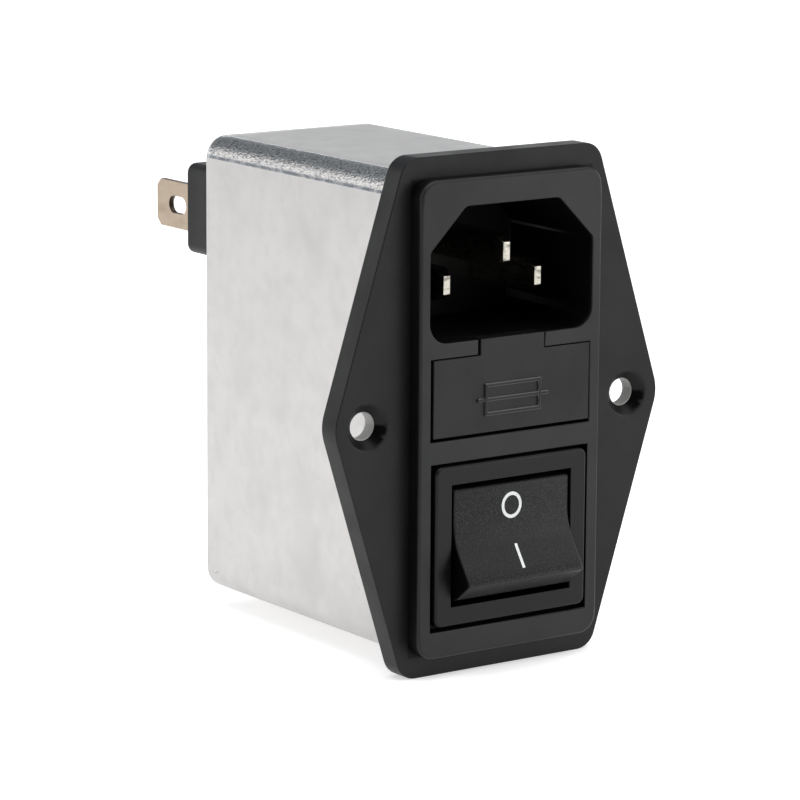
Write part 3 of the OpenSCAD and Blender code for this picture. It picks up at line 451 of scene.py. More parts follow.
@dataclass(frozen=True)
class TinnedSheet:
    """Tin-plated steel sheet: dull and even on its flats, burnished and crazed on its bends."""

    name: str
    colour: str
    smudge_colour: str
    roughness: float
    bend_roughness: float
    half_width: float
    half_height: float
    bend_radius: float
    rear: float
    fold_shade_colour: str = "#74787f"
    speck_colour: str = "#5d626a"
    bend_start_mm: float = 0.1
    craze_start_mm: float = 0.55
    craze_mm: float = 0.2
    craze_depth_mm: float = 0.07
    wave_mm: float = 5.0
    wave_depth_mm: float = 0.04

    def make(self) -> Material:
        """Returns the material."""
        material, tree, shader, coords = blank_material(self.name)
        shader.inputs["Metallic"].default_value = 1.0
        place = coords.outputs["Object"]
        bend = self._bend_mask(tree, place, self.bend_start_mm)
        colour = self._sheet_colour(tree, place, bend)
        patches = lumps(tree, place, 3.0, 5.0)
        span = (patches, 0.3, 0.7, self.roughness - 0.04, self.roughness + 0.04)
        flat_rough = add_node(tree, "ShaderNodeMapRange", span, **SMOOTH)
        rough = add_node(tree, "ShaderNodeMix", (bend, flat_rough, self.bend_roughness), data_type="FLOAT")
        ripple = lumps(tree, place, self.craze_mm, 3.0, (1.0, 2.4, 1.0))
        height = add_node(tree, "ShaderNodeMath", (ripple, bend), operation="MULTIPLY")
        crazed = add_node(tree, "ShaderNodeBump", {"Height": height, "Distance": self.craze_depth_mm * MM})
        waves = lumps(tree, place, self.wave_mm, 2.0, (1.0, 2.0, 1.0))
        relief = {"Height": waves, "Distance": self.wave_depth_mm * MM, "Normal": crazed}
        wavy = add_node(tree, "ShaderNodeBump", relief)
        connect(tree, shader, Base_Color=colour, Roughness=rough, Normal=wavy)
        return material

    def _sheet_colour(self, tree: Tree, place: Socket, bend: Node) -> Node:
        """Returns the flats' patchy colour, with a painted dark line of shade along the edges of the upper
        bends and dark specks on the bends.

        Args:
            tree: The material's tree.
            place: Object coordinates.
            bend: 1 on the bends.
        """
        inner_bend = self._bend_mask(tree, place, self.craze_start_mm)
        marks = self._scuffs(tree, place)
        large, small = lumps(tree, place, 9.0), lumps(tree, place, 2.4, 6.0)
        for span in ((large, 0.48, 0.72, 0.0, 0.5), (small, 0.42, 0.66, 0.0, 0.28)):
            cloud = add_node(tree, "ShaderNodeMapRange", span, **SMOOTH)
            marks = add_node(tree, "ShaderNodeMath", (cloud, marks), operation="MAXIMUM")
        shades = (marks, linear(self.colour), linear(self.smudge_colour))
        colour = add_node(tree, "ShaderNodeMix", shades, data_type="RGBA")
        rim = add_node(tree, "ShaderNodeMath", (bend, inner_bend), operation="SUBTRACT")
        breaks = lumps(tree, place, 1.6, 5.0)
        specks = lumps(tree, place, self.craze_mm, 4.0, (1.0, 3.0, 1.0))
        # painted shade: a dark line along both edges of the upper bends, broken up by a pattern
        for pattern, span, where, dark in (
            (breaks, (0.35, 0.55, 0.55, 1.0), rim, self.fold_shade_colour),
            (specks, (0.47, 0.68, 0.0, 0.7), inner_bend, self.speck_colour),
        ):
            depth = add_node(tree, "ShaderNodeMapRange", (pattern, *span), **SMOOTH)
            share = add_node(tree, "ShaderNodeMath", (where, depth), operation="MULTIPLY")
            colour = add_node(tree, "ShaderNodeMix", (share, colour, linear(dark)), data_type="RGBA")
        return colour

    def _bend_mask(self, tree: Tree, place: Socket, start_mm: float) -> Node:
        """Returns a value that is 1 on the sleeve's two upper long bends and 0 elsewhere.

        Args:
            tree: The material's tree.
            place: Object coordinates.
            start_mm: How far past the flat the value starts to rise.
        """
        axes = add_node(tree, "ShaderNodeSeparateXYZ", (place,))
        side = add_node(tree, "ShaderNodeMath", (axes.outputs["X"],), operation="ABSOLUTE")
        start = start_mm * MM - self.bend_radius
        span = (axes.outputs["Y"], self.rear - 0.3 * MM, self.rear - 0.15 * MM, 1.0, 0.0)
        mask = add_node(tree, "ShaderNodeMapRange", span, **SMOOTH)
        for value, edge in ((side, self.half_width + start), (axes.outputs["Z"], self.half_height + start)):
            part = add_node(tree, "ShaderNodeMapRange", (value, edge, edge + 0.25 * MM, 0.0, 1.0), **SMOOTH)
            mask = add_node(tree, "ShaderNodeMath", (mask, part), operation="MULTIPLY")
        return mask

    def _scuffs(self, tree: Tree, place: Socket) -> Node:
        """Returns faint thin scuff lines that come in patches."""
        offset = add_node(tree, "ShaderNodeMath", (lumps(tree, place, 4.0), 0.5), operation="SUBTRACT")
        near = add_node(tree, "ShaderNodeMath", (offset,), operation="ABSOLUTE")
        thin = add_node(tree, "ShaderNodeMapRange", (near, 0.0, 0.012, 1.0, 0.0), **SMOOTH)
        blots = lumps(tree, place, 11.0, 1.0)
        patch = add_node(tree, "ShaderNodeMapRange", (blots, 0.52, 0.65, 0.0, 0.45), **SMOOTH)
        return add_node(tree, "ShaderNodeMath", (thin, patch), operation="MULTIPLY")


@dataclass(frozen=True)
class PlatedMetal:
    """Electroplated brass or bronze: smooth, warm grey, with faint stains."""

    name: str
    colour: str
    stain_colour: str
    roughness: float
    cut_colour: str = ""
    stain_mm: float = 2.5
    rolled_mm: float = 0.25

    def make(self) -> Material:
        """Returns the material."""
        material, tree, shader, coords = blank_material(self.name)
        shader.inputs["Metallic"].default_value = 1.0
        place = coords.outputs["Object"]
        stains = lumps(tree, place, self.stain_mm, 4.0, (2.0, 2.0, 1.0))
        stain = add_node(tree, "ShaderNodeMapRange", (stains, 0.42, 0.7, 0.0, 0.75), **SMOOTH)
        shades = (stain, linear(self.colour), linear(self.stain_colour))
        colour = add_node(tree, "ShaderNodeMix", shades, data_type="RGBA")
        if self.cut_colour:
            shades = (self._cut_mask(tree, coords), colour, linear(self.cut_colour))
            colour = add_node(tree, "ShaderNodeMix", shades, data_type="RGBA")
        rolled = lumps(tree, place, self.rolled_mm, 2.0, (1.0, 14.0, 1.0))
        span = (rolled, 0.3, 0.7, self.roughness - 0.02, self.roughness + 0.04)
        rough = add_node(tree, "ShaderNodeMapRange", span, **SMOOTH)
        connect(tree, shader, Base_Color=colour, Roughness=rough)
        return material

    def _cut_mask(self, tree: Tree, coords: Node) -> Node:
        """Returns 1 on the blanked edges of an upright blade and 0 on its plated sides."""
        facing = add_node(tree, "ShaderNodeSeparateXYZ", (coords.outputs["Normal"],))
        side = add_node(tree, "ShaderNodeMath", (facing.outputs["X"],), operation="ABSOLUTE")
        return add_node(tree, "ShaderNodeMapRange", (side, 0.3, 0.8, 1.0, 0.0), **SMOOTH)


@dataclass(frozen=True)
class ClearGlass:
    """Soda-lime tube of a cartridge fuse: clear, with faint drawing lines."""

    name: str
    colour: str
    roughness: float
    line_mm: float = 0.4

    def make(self) -> Material:
        """Returns the material."""
        material, tree, shader, coords = blank_material(self.name)
        shader.inputs["Base Color"].default_value = linear(self.colour)
        shader.inputs["Transmission Weight"].default_value = 1.0
        shader.inputs["IOR"].default_value = 1.5
        lines = lumps(tree, coords.outputs["Object"], self.line_mm, 1.0, (20.0, 1.0, 1.0))
        span = (lines, 0.3, 0.7, self.roughness, self.roughness + 0.05)
        connect(tree, shader, Roughness=add_node(tree, "ShaderNodeMapRange", span, **SMOOTH))
        return material


@dataclass(frozen=True)
class CoatedPart:
    """Dipped, printed, sintered or enamelled coating with a soft sheen and slight unevenness."""

    name: str
    colour: str
    worn_colour: str
    roughness: float
    lump_mm: float
    depth_mm: float
    coat: float = 0.0

    def make(self) -> Material:
        """Returns the material."""
        material, tree, shader, coords = blank_material(self.name)
        shader.inputs["Coat Weight"].default_value = self.coat
        uneven = lumps(tree, coords.outputs["Object"], self.lump_mm, 4.0)
        share = add_node(tree, "ShaderNodeMapRange", (uneven, 0.4, 0.7, 0.0, 1.0), **SMOOTH)
        shades = (share, linear(self.colour), linear(self.worn_colour))
        span = (uneven, 0.3, 0.7, self.roughness - 0.05, self.roughness + 0.05)
        relief = {"Height": uneven, "Distance": self.depth_mm * MM, "Strength": 1.0}
        connect(
            tree,
            shader,
            Base_Color=add_node(tree, "ShaderNodeMix", shades, data_type="RGBA"),
            Roughness=add_node(tree, "ShaderNodeMapRange", span, **SMOOTH),
            Normal=add_node(tree, "ShaderNodeBump", relief),
        )
        return material


# ---------------------------------------------------------------- mesh helpers


def object_from(mesh_tool: bmesh.types.BMesh, name: str) -> Object:
    """Turns edited geometry into an object at the origin.

    Args:
        mesh_tool: The geometry, which is freed.
        name: The object's name.

    Returns:
        The object, linked to the scene.
    """
    mesh = bpy.data.meshes.new(name)
    mesh_tool.to_mesh(mesh)
    mesh_tool.free()
    piece = bpy.data.objects.new(name, mesh)
    bpy.context.scene.collection.objects.link(piece)
    return piece


def bake_modifiers(piece: Object) -> None:
    """Applies a piece's modifiers to its mesh."""
    bpy.context.view_layer.update()
    shape = bpy.data.meshes.new_from_object(piece.evaluated_get(bpy.context.evaluated_depsgraph_get()))
    piece.modifiers.clear()
    piece.data = shape


def shade(piece: Object, angle_deg: float = 32.0) -> None:
    """Shades a piece smooth, with hard edges past an angle.

    Args:
        piece: The object to shade.
        angle_deg: Angle between faces past which an edge stays sharp.
    """
    piece.data.shade_smooth()
    piece.data.set_sharp_from_angle(angle=math.radians(angle_deg))


def soft_copy(
    node: str,
    name: str,
    radius_mm: float,
    rule: EdgeRule | None = None,
    segments: int = 3,
) -> Object:
    """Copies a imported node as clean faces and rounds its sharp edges.

    Args:
        node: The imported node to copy.
        name: Name of the new piece.
        radius_mm: Width of the rounding at weight 1.
        rule: Gives an edge's weight from its middle and its angle; all edges weigh 1 without it.
        segments: Faces across a rounding.

    Returns:
        The new piece.
    """
    tool = bmesh.new()
    tool.from_mesh(FRAME["nodes"][node].data)
    bmesh.ops.remove_doubles(tool, verts=tool.verts, dist=0.002 * MM)
    bmesh.ops.dissolve_limit(
        tool,
        angle_limit=math.radians(0.6),
        verts=tool.verts,
        edges=tool.edges,
        use_dissolve_boundaries=False,
    )
    weight = tool.edges.layers.float.new("bevel_weight_edge")
    for edge in tool.edges:
        angle = edge.calc_face_angle(0.0)
        if angle < math.radians(30) or not edge.is_convex:
            continue
        middle = (edge.verts[0].co + edge.verts[1].co) / 2
        edge[weight] = rule(middle, angle) if rule else 1.0
    piece = object_from(tool, name)
    bevel = piece.modifiers.new("edge rounding", "BEVEL")
    bevel.limit_method = "WEIGHT"
    bevel.width = radius_mm * MM
    bevel.segments = segments
    bevel.use_clamp_overlap = False
    bake_modifiers(piece)
    shade(piece)
    # large faces keep their own normal, so that only the roundings look round
    piece.modifiers.new("flat faces", "WEIGHTED_NORMAL").keep_sharp = True
    bake_modifiers(piece)
    return piece


@dataclass
class Dresser:
    """Gives pieces their finish, their body and the nodes that they stand for."""

    made: list[str] = field(default_factory=list)

    def dress(
        self,
        piece: Object,
        body: Body,
        material: Material,
        stands_for: Sequence[str] = (),
    ) -> Object:
        """Finishes a new piece.

        Args:
            piece: The object, in place.
            body: The body it rides on.
            material: Its only material.
            stands_for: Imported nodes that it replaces.

        Returns:
            The same object.
        """
        piece.data.materials.clear()
        piece.data.materials.append(material)
        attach(piece, body.value)
        if stands_for:
            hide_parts(*stands_for)
        self.made.append(piece.name)
        LOG.info("%s: %d faces", piece.name, len(piece.data.polygons))
        return piece

    def finish_node(self, node: str, material: Material) -> None:
        """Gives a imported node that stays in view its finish."""
        mesh = FRAME["nodes"][node].data
        mesh.materials.clear()
        mesh.materials.append(material)
        for face in mesh.polygons:
            face.material_index = 0
        self.made.append(node)
        LOG.info("%s: finished as packed", node)


# ---------------------------------------------------------------- patterns


def pattern_tree(name: str, sizes: Sequence[tuple[str, str, float]]) -> tuple[Tree, Node]:
    """Starts a geometry tree with named inputs.

    Args:
        name: The tree's name.
        sizes: Each input's label, socket type and value.

    Returns:
        The tree and its group input.
    """
    tree = bpy.data.node_groups.new(name, "GeometryNodeTree")
    for way in ("INPUT", "OUTPUT"):
        tree.interface.new_socket("Geometry", in_out=way, socket_type="NodeSocketGeometry")
    for label, kind, value in sizes:
        tree.interface.new_socket(label, in_out="INPUT", socket_type=kind).default_value = value
    return tree, add_node(tree, "NodeGroupInput")


def end_pattern(tree: Tree, shape: Node, material: Material) -> None:
    """Ends a geometry tree: smooths its real mesh, gives it a finish and hands it out.

    Args:
        tree: The tree.
        shape: The node that makes the mesh.
        material: The mesh's finish.
    """
    smooth = add_node(tree, "GeometryNodeSetShadeSmooth", {0: shape})
    painted = add_node(tree, "GeometryNodeSetMaterial", {0: smooth, "Material": material})
    add_node(tree, "NodeGroupOutput", {0: painted})


def grow(piece: Object, tree: Tree) -> Object:
    """Runs a geometry tree on a piece and keeps its result as a plain mesh."""
    piece.modifiers.new("pattern", "NODES").node_group = tree
    bake_modifiers(piece)
    return piece


@dataclass(frozen=True)
class PointPattern:
    """A node tree that puts one small turned form on each of a piece's points."""

    name: str
    radius_mm: float
    height_mm: float
    turn: Triple
    taper: float = 0.45
    sides: int = 20

    def tree(self, material: Material) -> Tree:
        """Builds the tree.

        Args:
            material: The finish that the forms get.

        Returns:
            The geometry tree, with inputs for the form's radius and height.
        """
        sizes = (
            ("Radius", "NodeSocketFloat", self.radius_mm * MM),
            ("Height", "NodeSocketFloat", self.height_mm * MM),
        )
        tree, inputs = pattern_tree(self.name, sizes)
        pair = (inputs.outputs["Radius"], self.taper)
        narrow = add_node(tree, "ShaderNodeMath", pair, operation="MULTIPLY")
        form = add_node(
            tree,
            "GeometryNodeMeshCone",
            {
                "Vertices": self.sides,
                "Side Segments": 3,
                "Radius Bottom": inputs.outputs["Radius"],
                "Radius Top": narrow,
                "Depth": inputs.outputs["Height"],
            },
        )
        stand = {"Points": inputs.outputs["Geometry"], "Instance": form, "Rotation": Euler(self.turn)}
        placed = add_node(tree, "GeometryNodeInstanceOnPoints", stand)
        end_pattern(tree, add_node(tree, "GeometryNodeRealizeInstances", (placed,)), material)
        return tree

    def place(self, points: Sequence[Vector], material: Material) -> Object:
        """Puts the forms on the points and returns them as one plain mesh.

        Args:
            points: Where the forms stand.
            material: Their finish.

        Returns:
            The finished piece, undressed.
        """
        tool = bmesh.new()
        for point in points:
            tool.verts.new(point)
        return grow(object_from(tool, self.name), self.tree(material))


@dataclass(frozen=True)
class ToroidWinding:
    """A node tree that winds round wire about part of a ring core."""

    name: str
    turns: int
    span_deg: float
    core_inner_mm: float
    core_outer_mm: float
    core_height_mm: float
    wire_mm: float
    corner_steps: int = 3
    wire_sides: int = 10

    def tree(self, material: Material) -> Tree:
        """Builds the tree, with inputs for the number of turns and the wire's radius.

        Args:
            material: The wire's finish.

        Returns:
            The geometry tree.
        """
        sizes = (
            ("Turns", "NodeSocketInt", self.turns),
            ("Wire radius", "NodeSocketFloat", self.wire_mm / 2 * MM),
        )
        tree, inputs = pattern_tree(self.name, sizes)
        # a round-cornered loop about the core's section, in the plane through its axis
        width = (self.core_outer_mm - self.core_inner_mm) / 2 + self.wire_mm
        height = self.core_height_mm + self.wire_mm
        loop = add_node(
            tree, "GeometryNodeCurvePrimitiveQuadrilateral", {"Width": width * MM, "Height": height * MM}
        )
        corners = {"Curve": loop, "Count": self.corner_steps, "Radius": self.wire_mm * 0.9 * MM}
        fillet = add_node(tree, "GeometryNodeFilletCurve", corners, mode="POLY")
        reach = Vector(((self.core_outer_mm + self.core_inner_mm) / 4 * MM, 0.0, 0.0))
        moved = add_node(tree, "GeometryNodeTransform", {"Geometry": fillet, "Translation": reach})
        points = add_node(tree, "GeometryNodePoints", {"Count": inputs.outputs["Turns"]})
        index = add_node(tree, "GeometryNodeInputIndex")
        last = add_node(tree, "ShaderNodeMath", (inputs.outputs["Turns"], 1.0), operation="SUBTRACT")
        share = add_node(tree, "ShaderNodeMath", (index, last), operation="DIVIDE")
        span = math.radians(self.span_deg)
        angle = add_node(tree, "ShaderNodeMath", (share, span, -span / 2), operation="MULTIPLY_ADD")
        turn = add_node(tree, "ShaderNodeCombineXYZ", {"Y": angle})
        stand = {"Points": points, "Instance": moved, "Rotation": turn}
        placed = add_node(tree, "GeometryNodeInstanceOnPoints", stand)
        real = add_node(tree, "GeometryNodeRealizeInstances", (placed,))
        circle = {"Resolution": self.wire_sides, "Radius": inputs.outputs["Wire radius"]}
        section = add_node(tree, "GeometryNodeCurvePrimitiveCircle", circle)
        end_pattern(tree, add_node(tree, "GeometryNodeCurveToMesh", {0: real, 1: section}), material)
        return tree

    def wind(self, centre: Vector, side: Side, material: Material) -> Object:
        """Winds the wire and moves it onto its core.

        Args:
            centre: Middle of the core.
            side: Which half of the core carries it.
            material: The wire's finish.

        Returns:
            The finished piece, undressed.
        """
        piece = grow(object_from(bmesh.new(), self.name + "_" + side.name.lower()), self.tree(material))
        half_turn = Matrix.Rotation(0.0 if side is Side.RIGHT else math.pi, 4, "Y")
        piece.data.transform(Matrix.Translation(centre) @ half_turn)
        return piece


# ---------------------------------------------------------------- sub-assemblies


@dataclass
class FrontMoulding:
    """The flange, raised panel, socket shroud and switch recess, moulded as one piece."""

    panel_rise_mm: float = 2.2
    panel_edge_mm: float = 0.45
    opening_share: float = 0.35
    flange_share: float = 0.3
    rear_share: float = 0.4
    screw_offset: float = 20 * MM
    screw_reach: float = 3.5 * MM

    def __post_init__(self) -> None:
        """Reads the panel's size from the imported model."""
        low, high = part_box("front_housing")
        self.face_y = low.y
        self.flange_y = low.y + self.panel_rise_mm * MM
        sleeve_low, sleeve_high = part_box("can_sleeve")
        self.half_width = sleeve_high.x - 0.2 * MM
        self.half_height = sleeve_high.z - 0.4 * MM

    def edge_weight(self, middle: Vector, angle: float) -> float:
        """Rounds the panel's rim most, its openings and the flange less, and the inside not at all."""
        inside = max(abs(middle.x) / self.half_width, abs(middle.z) / self.half_height)
        if abs(middle.y - self.face_y) < 0.05 * MM:
            return 1.0 if inside > 0.93 else self.opening_share
        if math.hypot(abs(middle.x) - self.screw_offset, middle.z) < self.screw_reach:
            return 0.0
        if abs(middle.y - self.flange_y) < 0.05 * MM:
            return self.flange_share if inside > 1.02 else 0.0
        if abs(middle.y) < 0.05 * MM and inside > 1.02:
            return self.rear_share
        return 0.0

    def build(self, dresser: Dresser, material: Material) -> None:
        """Makes the moulding and dresses it."""
        piece = soft_copy("front_housing", "front_moulding", self.panel_edge_mm, self.edge_weight, 4)
        dresser.dress(piece, Body.INLET, material, ["front_housing"])


@dataclass
class InletPins:
    """The three flat pins of the socket."""

    edge_mm: float = 0.08

    def build(self, dresser: Dresser, material: Material) -> None:
        """Makes and dresses the pins."""
        for node in ("left_pin", "right_pin", "earth_pin"):
            piece = soft_copy(node, node + "_plated", self.edge_mm, None, 2)
            dresser.dress(piece, Body.INLET, material, [node])


@dataclass
class FuseDrawer:
    """The pull-out drawer with its working and its spare fuse."""

    sign_edge_mm: float = 0.19
    sign_rise_mm: float = 0.25
    rim_share: float = 0.5

    def edge_weight(self, middle: Vector, angle: float) -> float:
        """Rounds the raised sign well and the front's rim a little."""
        depth = (middle.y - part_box("fuse_drawer")[0].y) / MM
        if depth < self.sign_rise_mm / 2:
            return 1.0
        return self.rim_share if depth < self.sign_rise_mm + 0.1 else 0.0

    def build(self, dresser: Dresser, plastic: Material, glass: Material, cap: Material) -> None:
        """Makes and dresses the drawer and its fuses.

        Args:
            dresser: Takes the pieces.
            plastic: The drawer's finish.
            glass: Finish of the fuse tubes.
            cap: Finish of the fuse caps.
        """
        tray = soft_copy("fuse_drawer", "fuse_drawer_moulding", self.sign_edge_mm, self.edge_weight)
        dresser.dress(tray, Body.DRAWER, plastic, ["fuse_drawer"])
        for place in ("active", "spare"):
            dresser.finish_node(place + "_fuse_glass", glass)
            caps = soft_copy(place + "_fuse_caps", place + "_fuse_caps_plated", 0.15, None, 2)
            dresser.dress(caps, Body.DRAWER, cap, [place + "_fuse_caps"])


@dataclass
class RockerSwitch:
    """The switch's bezel, its rocker with a dished face, and the printed marks."""

    lip_h: float = 6.0
    lip_out: float = 4.3
    tilt_deg: float = 17.0
    dish_deg: float = 17.0
    dish_radius: float = 7.0
    flank_out: float = 1.0
    flank_h: float = 7.3
    width: float = 17.8
    lip_radius: float = 0.4
    heel_depth: float = 2.5
    heel_share: float = 0.86
    face_steps: int = 28
    side_edge: float = 0.3
    bezel_edge: float = 0.35
    ink_rise: float = 0.03
    ink_thickness: float = 0.04
    ring_half: tuple[float, float] = (1.54, 1.6)
    bar_half: tuple[float, float] = (0.2, 1.57)
    mark_stroke: float = 0.4
    ring_h: float = 3.26
    bar_h: float = -3.1

    def __post_init__(self) -> None:
        """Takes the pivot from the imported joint."""
        joint = next(j for j in FRAME["joints"] if j["name"] == "rocker_tilt")
        self.pivot = Vector(joint["pos_m"])

    def face_out(self, h: float) -> float:
        """Returns how far the dished face stands out at a height from its middle, in mm."""
        slope = math.tan(math.radians(self.dish_deg))
        dip = self.lip_out - self.lip_h * slope
        arc_h = self.dish_radius * math.sin(math.radians(self.dish_deg))
        if abs(h) >= arc_h:
            return dip + abs(h) * slope
        centre = dip + self.dish_radius / math.cos(math.radians(self.dish_deg))
        return centre - math.sqrt(self.dish_radius**2 - h * h)

    def profile(self) -> list[tuple[float, float]]:
        """Returns the rocker's outline as (out, height) pairs in mm, from its upper heel to its lower one."""
        lip = self._lip()
        heel = [(-self.heel_depth, self.flank_h * self.heel_share), (self.flank_out - 0.8, self.flank_h)]
        upper = heel + [(self.flank_out, self.flank_h)]
        inner = lip[-1][1]
        heights = [inner - 2 * inner * i / self.face_steps for i in range(1, self.face_steps)]
        face = [(self.face_out(h), h) for h in heights]
        top = upper + lip + face
        return top + [(out, -h) for out, h in reversed(upper + lip)]

    def _lip(self) -> list[tuple[float, float]]:
        """Returns the points of the upper lip's rounding, from its flank to its face."""
        corner = Vector((self.lip_out, self.lip_h))
        to_flank = (Vector((self.flank_out, self.flank_h)) - corner).normalized()
        slope = math.radians(self.dish_deg)
        to_face = Vector((-math.sin(slope), -math.cos(slope)))
        half = to_flank.angle(to_face) / 2
        reach = self.lip_radius / math.tan(half)
        centre = corner + (to_flank + to_face).normalized() * self.lip_radius / math.sin(half)
        start = corner + to_flank * reach - centre
        end = corner + to_face * reach - centre
        sweep = start.angle_signed(end)
        steps = 7
        points = []
        for i in range(steps + 1):
            spoke = start.copy()
            spoke.rotate(Matrix.Rotation(-sweep * i / steps, 2))
            points.append((centre.x + spoke.x, centre.y + spoke.y))
        return points

    def to_frame(self, x: float, out: float, h: float) -> Vector:
        """Returns the place in the frame of a point in the rocker's own mm, at rest."""
        tilt = Matrix.Rotation(math.radians(-self.tilt_deg), 3, "X")
        return self.pivot + tilt @ (Vector((x, -out, h)) * MM)

    def build_rocker(self) -> Object:
        """Builds the rocker's body, with its stubs, as one closed mesh."""
        tool = bmesh.new()
        outline = self.profile()
        half = self.width / 2
        rings = [[tool.verts.new(self.to_frame(x, out, h)) for out, h in outline] for x in (-half, half)]
        count = len(outline)
        for i in range(count):
            j = (i + 1) % count
            tool.faces.new((rings[0][i], rings[0][j], rings[1][j], rings[1][i]))
        tool.faces.new(list(reversed(rings[0])))
        tool.faces.new(rings[1])
        bmesh.ops.recalc_face_normals(tool, faces=tool.faces)
        weight = tool.edges.layers.float.new("bevel_weight_edge")
        for edge in tool.edges:
            if abs(edge.verts[0].co.x - edge.verts[1].co.x) < 0.01 * MM:
                edge[weight] = 1.0
        piece = object_from(tool, "rocker_moulding")
        bevel = piece.modifiers.new("edge rounding", "BEVEL")
        bevel.limit_method = "WEIGHT"
        bevel.width = self.side_edge * MM
        bevel.segments = 4
        bevel.use_clamp_overlap = False
        bake_modifiers(piece)
        shade(piece, 40)
        return piece

    def on_face(self, x: float, h: float, proud: float) -> Vector:
        """Returns a place on the dished face.

        Args:
            x: Distance from the middle, in mm.
            h: Distance along the face from its middle, in mm.
            proud: Height above the face, in mm.

        Returns:
            The place in the frame, in metres.
        """
        return self.to_frame(x, self.face_out(h) + proud, h)

    def build_mark(self, name: str, centre_h: float, inner: float, outer_x: float, outer_h: float) -> Object:
        """Builds a printed mark that lies on the face.

        Args:
            name: Name of the piece.
            centre_h: Height of its middle on the face, in mm.
            inner: Share of the outline that is left open, 0 for a solid bar.
            outer_x: Half width in mm.
            outer_h: Half height in mm.

        Returns:
            The mark, a thin film.
        """
        tool = bmesh.new()
        steps = 64 if inner else 1
        rows = []
        if inner:
            for i in range(steps):
                a = 2 * math.pi * i / steps
                c, s = math.cos(a), math.sin(a)
                rows.append([(outer_x * inner * c, outer_h * inner * s), (outer_x * c, outer_h * s)])
        else:
            lengths = 12
            for i in range(lengths + 1):
                h = -outer_h + 2 * outer_h * i / lengths
                rows.append([(-outer_x, h), (outer_x, h)])
        rise = self.ink_rise
        made = [[tool.verts.new(self.on_face(x, centre_h + h, rise)) for x, h in row] for row in rows]
        last = len(made) if inner else len(made) - 1
        for i in range(last):
            a, b = made[i], made[(i + 1) % len(made)]
            tool.faces.new((a[0], a[1], b[1], b[0]))
        bmesh.ops.recalc_face_normals(tool, faces=tool.faces)
        outward = sum((f.normal.y for f in tool.faces), 0.0)
        if outward > 0:
            bmesh.ops.reverse_faces(tool, faces=tool.faces)
        piece = object_from(tool, name)
        thick = piece.modifiers.new("ink thickness", "SOLIDIFY")
        thick.thickness = self.ink_thickness * MM
        thick.offset = -1.0
        bake_modifiers(piece)
        return piece

    def bezel_weight(self, middle: Vector, angle: float) -> float:
        """Rounds the bezel's rim most and its window a little."""
        low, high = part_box("switch_body")
        if middle.y > low.y + 0.1 * MM:
            return 0.0
        half_w = (high.x - low.x) / 2
        half_h = (high.z - low.z) / 2
        centre = (high + low) / 2
        rim = max(abs(middle.x - centre.x) / half_w, abs(middle.z - centre.z) / half_h)
        return 1.0 if rim > 0.93 else 0.3

    def build(self, dresser: Dresser, bezel: Material, rocker: Material, ink: Material) -> None:
        """Makes and dresses the switch.

        Args:
            dresser: Takes the pieces.
            bezel: The bezel's finish.
            rocker: The rocker's finish.
            ink: The marks' finish.
        """
        body = soft_copy("switch_body", "switch_bezel", self.bezel_edge, self.bezel_weight, 4)
        dresser.dress(body, Body.INLET, bezel, ["switch_body"])
        dresser.dress(self.build_rocker(), Body.ROCKER, rocker, ["rocker"])
        ring_share = 1 - self.mark_stroke / self.ring_half[0]
        off = self.build_mark("off_mark", self.ring_h, ring_share, *self.ring_half)
        on = self.build_mark("on_mark", self.bar_h, 0.0, *self.bar_half)
        for mark in (off, on):
            dresser.dress(mark, Body.ROCKER, ink)


